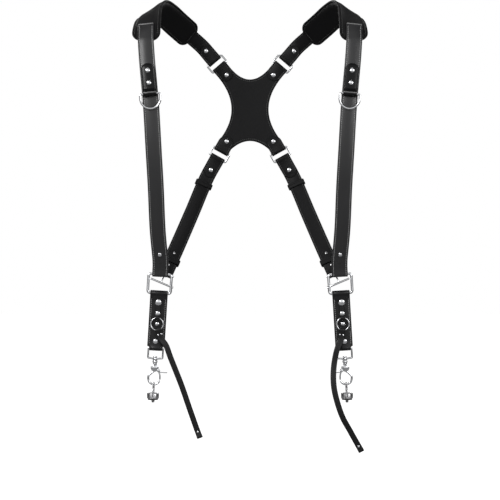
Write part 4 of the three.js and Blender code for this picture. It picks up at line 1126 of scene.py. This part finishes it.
# %% Tether rings and their keepers
T_RING = {"width": 25, "wire": 2.2, "drop": 56}
T_KEEPER = {"width": 9, "thick": 1.6, "length": 31}
TETHER = {"width": 10.5, "thick": 2.6, "fold": 1.6, "flap": 16, "lug": 1.8}
t_half = (T_RING["width"] - T_RING["wire"]) / 2
ring_sag = t_half - math.sqrt(t_half ** 2 - (TETHER["width"] / 2) ** 2)
T_HOLE = T_RING["wire"] / 2 + SLACK + ring_sag + t_half * (1 - math.cos(math.pi / 16))
T_RING_AT = vec(0, -(TAB["thick"] + SEAT_GAP + T_HOLE + TETHER["fold"]), TAB_TOP - T_RING["drop"])
t_place = HANG @ frame_at(T_RING_AT, SIDEWAYS, UP)
t_ring_shape = wire(arc((0, 0), t_half, 0, 352.5, 47), T_RING["wire"], t_place)
T_KEEPER_FRAME = HANG @ frame_at(T_RING_AT + UP * t_half, UP, FORWARD)


def t_keeper_line():
    """One strip: its inner layer on the tab, round the ring, and its outer layer above."""
    thick, length = T_KEEPER["thick"], T_KEEPER["length"]
    middle = T_HOLE + thick / 2
    spots = [(d, -middle, 270) for d in spaced(length, 2, 8)]
    spots += [(*polar(middle, degrees), degrees) for degrees in (265, 235, 205, 175, 145, 115, 90, 65)]
    spots += [(5.5, -middle + thick + 1.2, 60), (9, -middle + thick, 85)]
    spots += [(d, -middle + thick, 90) for d in spaced(12, length, 6)]
    return smooth([bar_station(T_KEEPER_FRAME, *spot) for spot in spots], 1.2)


t_keeper = t_keeper_line()
t_reach = t_keeper[-1]["reach"]
t_tip = round_tip(T_KEEPER["width"], blunt=0.3)
t_keeper_shape = swept(t_keeper, lambda reach: min(t_tip(reach), t_tip(t_reach - reach)), T_KEEPER["thick"],
                       groove=1.6, depth=0.1, rounding=0.6)
for side in SIDES:
    dress_node("tether_ring", "wire", t_ring_shape, "chrome", side)
    dress_node("tether_keeper", "leather", t_keeper_shape, "tab_leather", side)
print("tether ring hangs at", [round(v, 1) for v in T_RING_AT])

# %% [markdown]
# A tether is a narrow strap from the round ring to a camera. Both hang free, with the bends that they
# have in the photograph: one falls nearly straight across the body, the other swings out in an S.

# %% Tethers
TETHERS = {
    "left": {"drop": 195, "sweep": 75, "bulge": 4, "turn": 18.6, "rows": [
        {"in": 0.177, "ahead": 0.7, "down": 0.140}, {"in": 0.288, "ahead": 1.0, "down": 0.252},
        {"in": 0.563, "ahead": 1.0, "down": 0.520}, {"in": 0.760, "ahead": 0.8, "down": 0.740},
        {"in": 0.939, "ahead": 0.5, "down": 0.937}, {"in": 1.000, "ahead": 0.4, "down": 1.000}]},
    "right": {"drop": 218, "sweep": 36, "bulge": 33, "turn": 11, "rows": [
        {"in": 0.26, "ahead": 0.17, "down": 0.155}, {"in": 0.43, "ahead": 0.60, "down": 0.263},
        {"in": 0.50, "ahead": 0.90, "down": 0.380}, {"in": 0.44, "ahead": 1.00, "down": 0.500},
        {"in": 0.08, "ahead": 0.96, "down": 0.700}, {"in": -0.375, "ahead": 0.72, "down": 0.840},
        {"in": -0.917, "ahead": 0.48, "down": 1.000}]},
}


def small_fold(bar, hole, leather, flap):
    """The doubled end of a tether round a bar, as one line from one layer's end to the other's."""
    middle, run_out = hole + leather / 2, RUN_OUT * (hole + leather)
    spots = [(d, leather / 2, 90) for d in spaced(flap, run_out, 4)]
    spots += [(*polar(middle, degrees), degrees) for degrees in range(60, 301, 20)]
    spots += [(d, -leather / 2, 270) for d in spaced(run_out, flap, 4)]
    return smooth([bar_station(bar, *spot) for spot in spots], 1.2)


def tether_leather(line, thick, depth, rounding):
    return swept(line, always(TETHER["width"] / 2), thick, groove=2, depth=depth, rounding=rounding)


TETHER_ENDS = {}
for side, t in TETHERS.items():
    turn = math.radians(t["turn"])
    leave = way(HANG, -math.sin(turn), 0, -math.cos(turn))
    start = HANG @ T_RING_AT + leave * t_half
    ring_bar = frame_at(start, leave, FORWARD)
    free = [start - vec(r["in"] * t["sweep"], r["ahead"] * t["bulge"], r["down"] * t["drop"])
            for r in t["rows"]]
    tether_at, tether_length = strap_path(
        [(ring_bar @ vec(d, 0, 0), -t["turn"]) for d in (FOLD_CLEAR, TETHER["flap"])]
        + [(at, 0) for at in free])
    end = tether_at(tether_length)
    lug_bar = frame_at(end["at"], -end["along"], end["face"])
    line = smooth([tether_at(d) for d in spaced(0, tether_length - FOLD_CLEAR, 30)], 3)
    shapes = [tether_leather(line, TETHER["thick"], 0.12, 1)]
    for bar, hole in ((ring_bar, T_HOLE), (lug_bar, TETHER["lug"])):
        doubled = small_fold(bar, hole, TETHER["fold"], TETHER["flap"])
        shapes.append(tether_leather(doubled, TETHER["fold"], 0.1, 0.6))
    dress_node("tether", "leather", joined(*shapes), "tab_leather", side)
    TETHER_ENDS[side] = (ring_bar, lug_bar)
    print(side, "tether:", round(tether_length + 2 * FOLD_CLEAR), "mm")

# %% [markdown]
# The swivel hook is cast and turned metal. Its loop carries a bored boss, the hook's stem turns in it,
# and a sprung gate closes the round of the hook. Each moving piece rides on its own body.

# %% Swivel loops
BOSS = {"radius": 4.2, "height": 5, "stem": 2}
LOOP_STEPS = 5
DIP_HALF, DIP_PLACES = 9, (-8, -5, -2.5, 0, 2.5, 5, 8)
loop_half = (LOOP["height"] - LOOP["wire"]) / 2
BOSS_MIDDLE = TAB_FOOT - 2 * loop_half - LOOP["dip"]
loop_points = rounded_rectangle(LOOP["width"] - LOOP["wire"], 2 * loop_half, 0.4 * LOOP["wire"], LOOP_STEPS)
lower_bar = [vec(x, -loop_half - LOOP["dip"] * (1 - abs(x) / DIP_HALF) ** 0.8, 0) for x in DIP_PLACES]
after_three_corners = 3 * (LOOP_STEPS + 1)
loop_points[after_three_corners:after_three_corners] = lower_bar
loop_place = HANG @ Matrix.Translation((0, 0, TAB_FOOT - loop_half)) @ UPRIGHT
boss_low, boss_high = (HANG @ vec(0, 0, BOSS_MIDDLE + s * BOSS["height"] / 2) for s in (-1, 1))
swivel_shape = joined(
    wire(loop_points, LOOP["wire"], loop_place),
    rod(BOSS["radius"], boss_low, boss_high, soft=0.8, bore=BOSS["stem"] + SLACK))
for side in SIDES:
    dress_node("swivel_loop", "casting", swivel_shape, "chrome", side)
print("boss", round(BOSS_MIDDLE, 1), "mm below the waist ring's middle")

# %% Snap hooks
HOOK = {"radius": 10.7, "wire": 3.8, "drop": 20, "eye": 7.2, "eye_thick": 6, "cap": 4.2, "collar": 4.6,
        "collar_height": 4, "neck": 2, "head": 3.8, "head_height": 2.4}
GATE = {"out": 7.6, "up": 15.1, "eye": 3, "thick": 3.4, "wall": 2.4, "lever": 16, "lever_thick": 1.8,
        "gap": 1.3}
HOOK_ROWS = [(0, 1.36), (0.53, 0.90), (0.95, 0.42), (1, 0),
             (0.72, -0.70), (0, -1), (-0.70, -0.72), (-0.97, -0.24)]
EAR_SPAN = HOOK["eye_thick"] + 1
eye_drop = SEAT_GAP + HOOK["collar_height"] + HOOK["neck"] + HOOK["eye"]
HOOK_MIDDLE = BOSS_MIDDLE - BOSS["height"] / 2 - eye_drop - HOOK["drop"]
HOOK_PLACE = HANG @ Matrix.Translation((0, 0, HOOK_MIDDLE))


def on_hook(x, y, z):
    return HOOK_PLACE @ vec(x, y, z)


def across_rod(radius, x, z, thick, **more):
    """A rod through the hook from front to back."""
    return rod(radius, on_hook(x, -thick / 2, z), on_hook(x, thick / 2, z), **more)


def stem_rod(radius, low, high, soft=0.3):
    """A rod along the hook's stem."""
    return rod(radius, on_hook(0, 0, low), on_hook(0, 0, high), soft=soft)


def gate_ear(s):
    """One of the two ears that hold the gate's pin."""
    levels = (s * EAR_SPAN / 2, s * (GATE["thick"] / 2 + SLACK))
    return rod(GATE["eye"], *(on_hook(-GATE["out"], y, GATE["up"]) for y in levels), soft=0.5)


def hook_thickness(t):
    """The hook's wire thins at its tip."""
    return min(1, 0.5 + (1 - t) * 12)


hook_line = [vec(x * HOOK["radius"], z * HOOK["radius"], 0) for x, z in HOOK_ROWS]
hook_curve = [spline(hook_line, t) for t in spaced(0, 1, 48)]
collar_top = HOOK["drop"] + eye_drop - SEAT_GAP
head_foot = collar_top + BOSS["height"] + 2 * SEAT_GAP
hook_shape = joined(
    wire(hook_curve, HOOK["wire"], HOOK_PLACE @ UPRIGHT, endless=False, thick_at=hook_thickness),
    across_rod(HOOK["eye"], 0, HOOK["drop"], HOOK["eye_thick"], sides=40, soft=1.2),
    across_rod(HOOK["cap"], 0, HOOK["drop"], HOOK["eye_thick"] + 2, sides=36, soft=1.2),
    stem_rod(0.75 * HOOK["collar"], HOOK["drop"], collar_top),
    stem_rod(HOOK["collar"], collar_top - HOOK["collar_height"], collar_top, soft=1),
    stem_rod(BOSS["stem"], collar_top - 1, head_foot + 1),
    stem_rod(HOOK["head"], head_foot, head_foot + HOOK["head_height"], soft=1.1),
    gate_ear(-1), gate_ear(1),
    across_rod(1, -GATE["out"], GATE["up"], EAR_SPAN + 0.6))
for side in SIDES:
    dress_node("snap_hook", "casting", hook_shape, "chrome", side, body="hook")
print("hook's round is", round(2 * HOOK["radius"] + HOOK["wire"], 1), "mm across")


# %% Gates
def rounded_bar(start, end, width, thick, wide_way):
    """A flat lever with round edges and a round end."""
    up = (end - start).normalized().cross(wide_way).normalized()
    corners = [[math.copysign(abs(v) ** 0.5, v) for v in polar(1, 15 * k + 7.5)] for k in range(24)]
    rings = []
    for share, shrink in ((0, 1), (0.85, 1), (0.93, 0.9), (0.98, 0.65), (1, 0.3)):
        wide, high = wide_way * width / 2 * shrink, up * thick / 2 * min(1, shrink + 0.2)
        rings.append([start.lerp(end, share) + wide * x + high * y for x, y in corners])
    return skin(rings)


hook_tip = HOOK_ROWS[-1][1] * HOOK["radius"] + GATE["gap"]
gate_rise = GATE["up"] - hook_tip
gate_line = [vec(-GATE["out"], GATE["up"], 0), vec(-0.93 * HOOK["radius"], 0.55 * gate_rise + hook_tip, 0),
             vec(-HOOK["radius"], 0.25 * gate_rise + hook_tip, 0), vec(-HOOK["radius"], hook_tip, 0)]
gate_curve = [spline(gate_line, t) for t in spaced(0, 1, 20)]
lever_z = GATE["up"] - GATE["eye"]
lever_root, lever_end = (on_hook(-GATE["out"] - d, 0, lever_z) for d in (0, GATE["lever"]))
gate_shape = joined(
    wire(gate_curve, GATE["wall"] * 1.15, HOOK_PLACE @ UPRIGHT, endless=False, sides=12),
    across_rod(GATE["eye"] - 0.05, -GATE["out"], GATE["up"], GATE["thick"], soft=0.5, bore=1 + SLACK),
    rounded_bar(lever_root, lever_end, GATE["thick"], GATE["lever_thick"], BACKWARD))
for side in SIDES:
    dress_node("hook_gate", "lever", gate_shape, "chrome", side, body="gate")
print("lever sticks out", GATE["lever"], "mm")

# %% [markdown]
# The camera screw hangs by a wire bail in the hook. It is turned from steel: a knob, a black washer and
# a quarter inch thread, whose ridge winds round the stud 20 times to the inch.

# %% Camera screws
BAIL = {"width": 37, "reach": 25.5, "wire": 2.4}
SCREW = {"radius": 11, "height": 10, "washer": 9.6, "washer_thick": 1.8, "stud": 3.1, "length": 7.2,
         "pitch": 1.27}
bow_up = -HOOK["radius"] + (HOOK["wire"] + BAIL["wire"]) / 2 + SEAT_GAP
SCREW_MIDDLE = bow_up - (BAIL["reach"] - BAIL["wire"] / 2)
bail_place = HOOK_PLACE @ frame_at(vec(0, 0, SCREW_MIDDLE), BACKWARD, -UP)
bail_points = d_points(BAIL["width"], BAIL["wire"], BAIL["reach"] - BAIL["width"] / 2)
bail_shape = wire(bail_points, BAIL["wire"], bail_place)
SCREW_PLACE = Matrix.Translation(HOOK_PLACE @ vec(0, 0, SCREW_MIDDLE))
knob_r, knob_h = SCREW["radius"], SCREW["height"] / 2
foot_rows = [(0.7, 0), (0.1, 0.6), (0.5, 0.9), (0.5, 1.3), (0, 1.6)]
top_rows = [(0, 0.8), (0.25, 0.25), (0.8, 0), (2.2, 0), (2.6, 0.5)]
knob_rows = [(0, -knob_h)] + [(knob_r - inset, up - knob_h) for inset, up in foot_rows]
knob_rows += [(knob_r - inset, knob_h - down) for inset, down in top_rows] + [(0, knob_h - 0.5)]
knob = turned(knob_rows, SCREW_PLACE, sides=64)
print("knob is", 2 * knob_r, "mm wide")


# %% Threads and washers
def thread(radius, top, length, pitch, ridge=0.45, steps=8, sides=32):
    """A stud whose ridge winds round it, with a number of steps to each turn."""
    rings = []
    count = int(length / pitch * steps)
    for i in range(count + 1):
        up = top - length * i / count
        fade = min(1, i / 6, (count - i) / 6)
        ring = []
        for k in range(sides):
            phase = ((top - up) / pitch + k / sides) % 1
            x, y = polar(radius - ridge + ridge * fade * abs(2 * phase - 1), 360 * k / sides)
            ring.append(SCREW_PLACE @ vec(x, y, up))
        rings.append(ring)
    return skin(rings)


stud = thread(SCREW["stud"], -knob_h + 0.2, SCREW["length"] + 0.2, SCREW["pitch"])
washer_top = -knob_h - SEAT_GAP
washer_low = washer_top - SCREW["washer_thick"]
washer_r, washer_in = SCREW["washer"], SCREW["stud"] + SLACK
washer_rows = [(washer_in, washer_low), (washer_r - 0.4, washer_low), (washer_r, washer_low + 0.4),
               (washer_r, washer_top - 0.3), (washer_r - 0.3, washer_top), (washer_in, washer_top)]
washer_shape = turned(washer_rows, SCREW_PLACE, sides=64, endless=True)
for side in SIDES:
    dress_node("screw_bail", "wire", bail_shape, "steel", side, body="bail")
    dress_node("camera_screw", "knob", joined(knob, stud), "steel", side, body="screw")
    dress_node("screw_washer", "disc", washer_shape, "rubber", side, body="screw")
print("screw hangs at", [round(v, 1) for v in SCREW_PLACE.translation])

# %% [markdown]
# A rivet is a thin cap pressed over a post: a rolled rim, then a dome. Each one is seated on the
# outward face of the leather, along a strap's path or on the flap behind a bar.


# %% Rivets and studs
RIVET, STUD = (4.6, 2.6), (4, 3)
RIM_SHARE, RIM_SEAT = 0.93, 0.36
FLAP_SEAT, STRAP_SEAT = 0.25, 0.05
DOME_TURNS = (12, 24, 36, 48, 60, 72, 78, 85)


def facing(at, toward):
    return Matrix.Translation(at) @ toward.to_track_quat("Z", "Y").to_matrix().to_4x4()


def rivet(radius, height, place):
    inner = RIM_SHARE * radius
    rows = [(0, 0), (inner, 0), (radius, 0.1 * height), (radius, 0.24 * height)]
    rows.append((radius * 0.95, 0.34 * height))
    for x, up in (polar(1, degrees) for degrees in DOME_TURNS):
        rows.append((inner * x, height * (RIM_SEAT + (1 - RIM_SEAT) * up)))
    return turned(rows + [(0, height)], place)


def on_flap(bar, distance, leather):
    return facing(bar @ vec(distance, -leather - SEAT_GAP + FLAP_SEAT, 0), way(bar, 0, -1, 0))


def on_path(path_at, distance, level):
    station = path_at(distance)
    return facing(lifted(station, level + STRAP_SEAT)["at"], station["face"])


keeper_level = STRAP_THICK / 2 + SEAT_GAP + 2 * KEEPER["thick"] + 0.2
places = {
    "keeper_rivet_1": (RIVET, on_path(front_at, KEEPER_AT + 20, keeper_level)),
    "keeper_rivet_2": (RIVET, on_path(front_at, KEEPER_AT + 43, keeper_level)),
    "front_stud": (STUD, on_path(front_at, 41 - FOLD_CLEAR, STRAP_THICK / 2)),
    "upper_strap_rivet": (RIVET, on_flap(UPPER_STRAP_BAR, 24, STRAP_THICK)),
    "lower_strap_rivet": (RIVET, on_flap(LOWER_STRAP_BAR, 26, STRAP_THICK)),
    "yoke_rivet_upper": (RIVET, on_flap(UPPER_ARM_BAR, YOKE_RIVET_AT, YOKE_THICK)),
    "yoke_rivet_lower": (RIVET, on_flap(LOWER_ARM_BAR, YOKE_RIVET_AT, YOKE_THICK)),
}
for side in SIDES:
    for name, (size, place) in places.items():
        dress_node(name, "cap", rivet(*size, place), "chrome", side)
print(len(places), "rivets a side")

# %% [markdown]
# The small studs are modelled here only, because they are too small to matter in the CAD part. Four
# close each tab, a few hold the folds of each tether, and two the tip of each lower back strap. Thin
# rolls of leather cover two seams of each front strap: its start on the pad and its keeper's bend.
# Their light grey is a painted highlight, the shine along those edges, and not a colour of the leather.


# %% Small studs
def on_tab(sideways, drop, level=0.0):
    return facing(HANG @ vec(sideways, -TAB["thick"] - level, -drop), way(HANG, 0, -1, 0))


def hole(radius, place):
    """A punched hole drawn as a flat dark disc with a pressed rim; the dark is painted shade inside the hole.
    """
    rows = [(0, 0.02), (radius * 0.8, 0.02), (radius, 0.12), (radius * 1.15, 0.04), (radius * 1.2, 0)]
    return turned(rows, place, sides=20)


def highlight_roll(station, level, radius, width):
    """A thin roll of leather across a strap, which carries a painted highlight line."""
    middle = lifted(station, level)
    ends = [middle["at"] + middle["across"] * s * (width / 2 - 0.5) for s in (-1, 1)]
    return rod(radius, *ends, soft=1)


keeper_face = 2 * T_KEEPER["thick"] + SEAT_GAP
tab_studs = {
    "tab_stud_upper": ((6.2, 3.4), on_tab(0, 34, keeper_face)),
    "tab_stud_middle": ((4.9, 3.0), on_tab(0, 54.5, keeper_face)),
    "tab_stud_in_ring": ((4.2, 2.6), on_tab(0, 73.8)),
    "tab_stud_lower": ((5.2, 3.2), on_tab(1.2, 106)),
}
tip_studs = {"lower_strap_stud_a": 19, "lower_strap_stud_b": 46}
# painted highlight rolls: their light grey stands for the shine on the strap's end at the pad and on the
# keeper's bend
strap_seam_highlight = highlight_roll(pad_at(SEAM_INSET), PAD_STAND + STRAP_THICK / 2 - 0.2, 1.3, STRAP_WIDTH)
bend_top = as_station(KEEPER_FRAME @ vec(1.8, 0, 0), way(KEEPER_FRAME, 0, 1, 0), keeper_base["across"])
keeper_bend_highlight = highlight_roll(bend_top, d_hole + KEEPER["thick"] - 0.8, 1.1, KEEPER["width"])
# painted shade: a flat dark disc in place of the shadowed inside of a punched hole
strap_hole_shade = hole(1.9, on_path(front_at, 11, STRAP_THICK / 2))
for side in SIDES:
    dress("front_strap_seam_highlight", strap_seam_highlight, "painted_highlight", side)
    dress("ring_keeper_bend_highlight", keeper_bend_highlight, "painted_highlight", side)
    for name, (size, place) in tab_studs.items():
        dress(name, rivet(*size, place), "chrome", side)
    dress("front_strap_hole_shade", strap_hole_shade, "rubber", side)
    for name, reach in tip_studs.items():
        place = facing(REAR @ vec(reach, -STRAP_THICK - 0.1, 0), way(REAR, 0, -1, 0))
        dress(name, rivet(2.4, 1.4, place), "steel", side)
    ring_bar, lug_bar = TETHER_ENDS[side]
    fold = TETHER["fold"]
    small = []
    for s in (-1, 1):
        small.append(rivet(1.8, 1.3, facing(ring_bar @ vec(8.5, fold, s * 3.1), way(ring_bar, 0, 1, 0))))
        small.append(rivet(2.2, 1.5, facing(lug_bar @ vec(9, s * fold, 0), way(lug_bar, 0, s, 0))))
    dress("tether_studs", joined(*small), "chrome", side)
print(len(tab_studs), "studs on each tab")
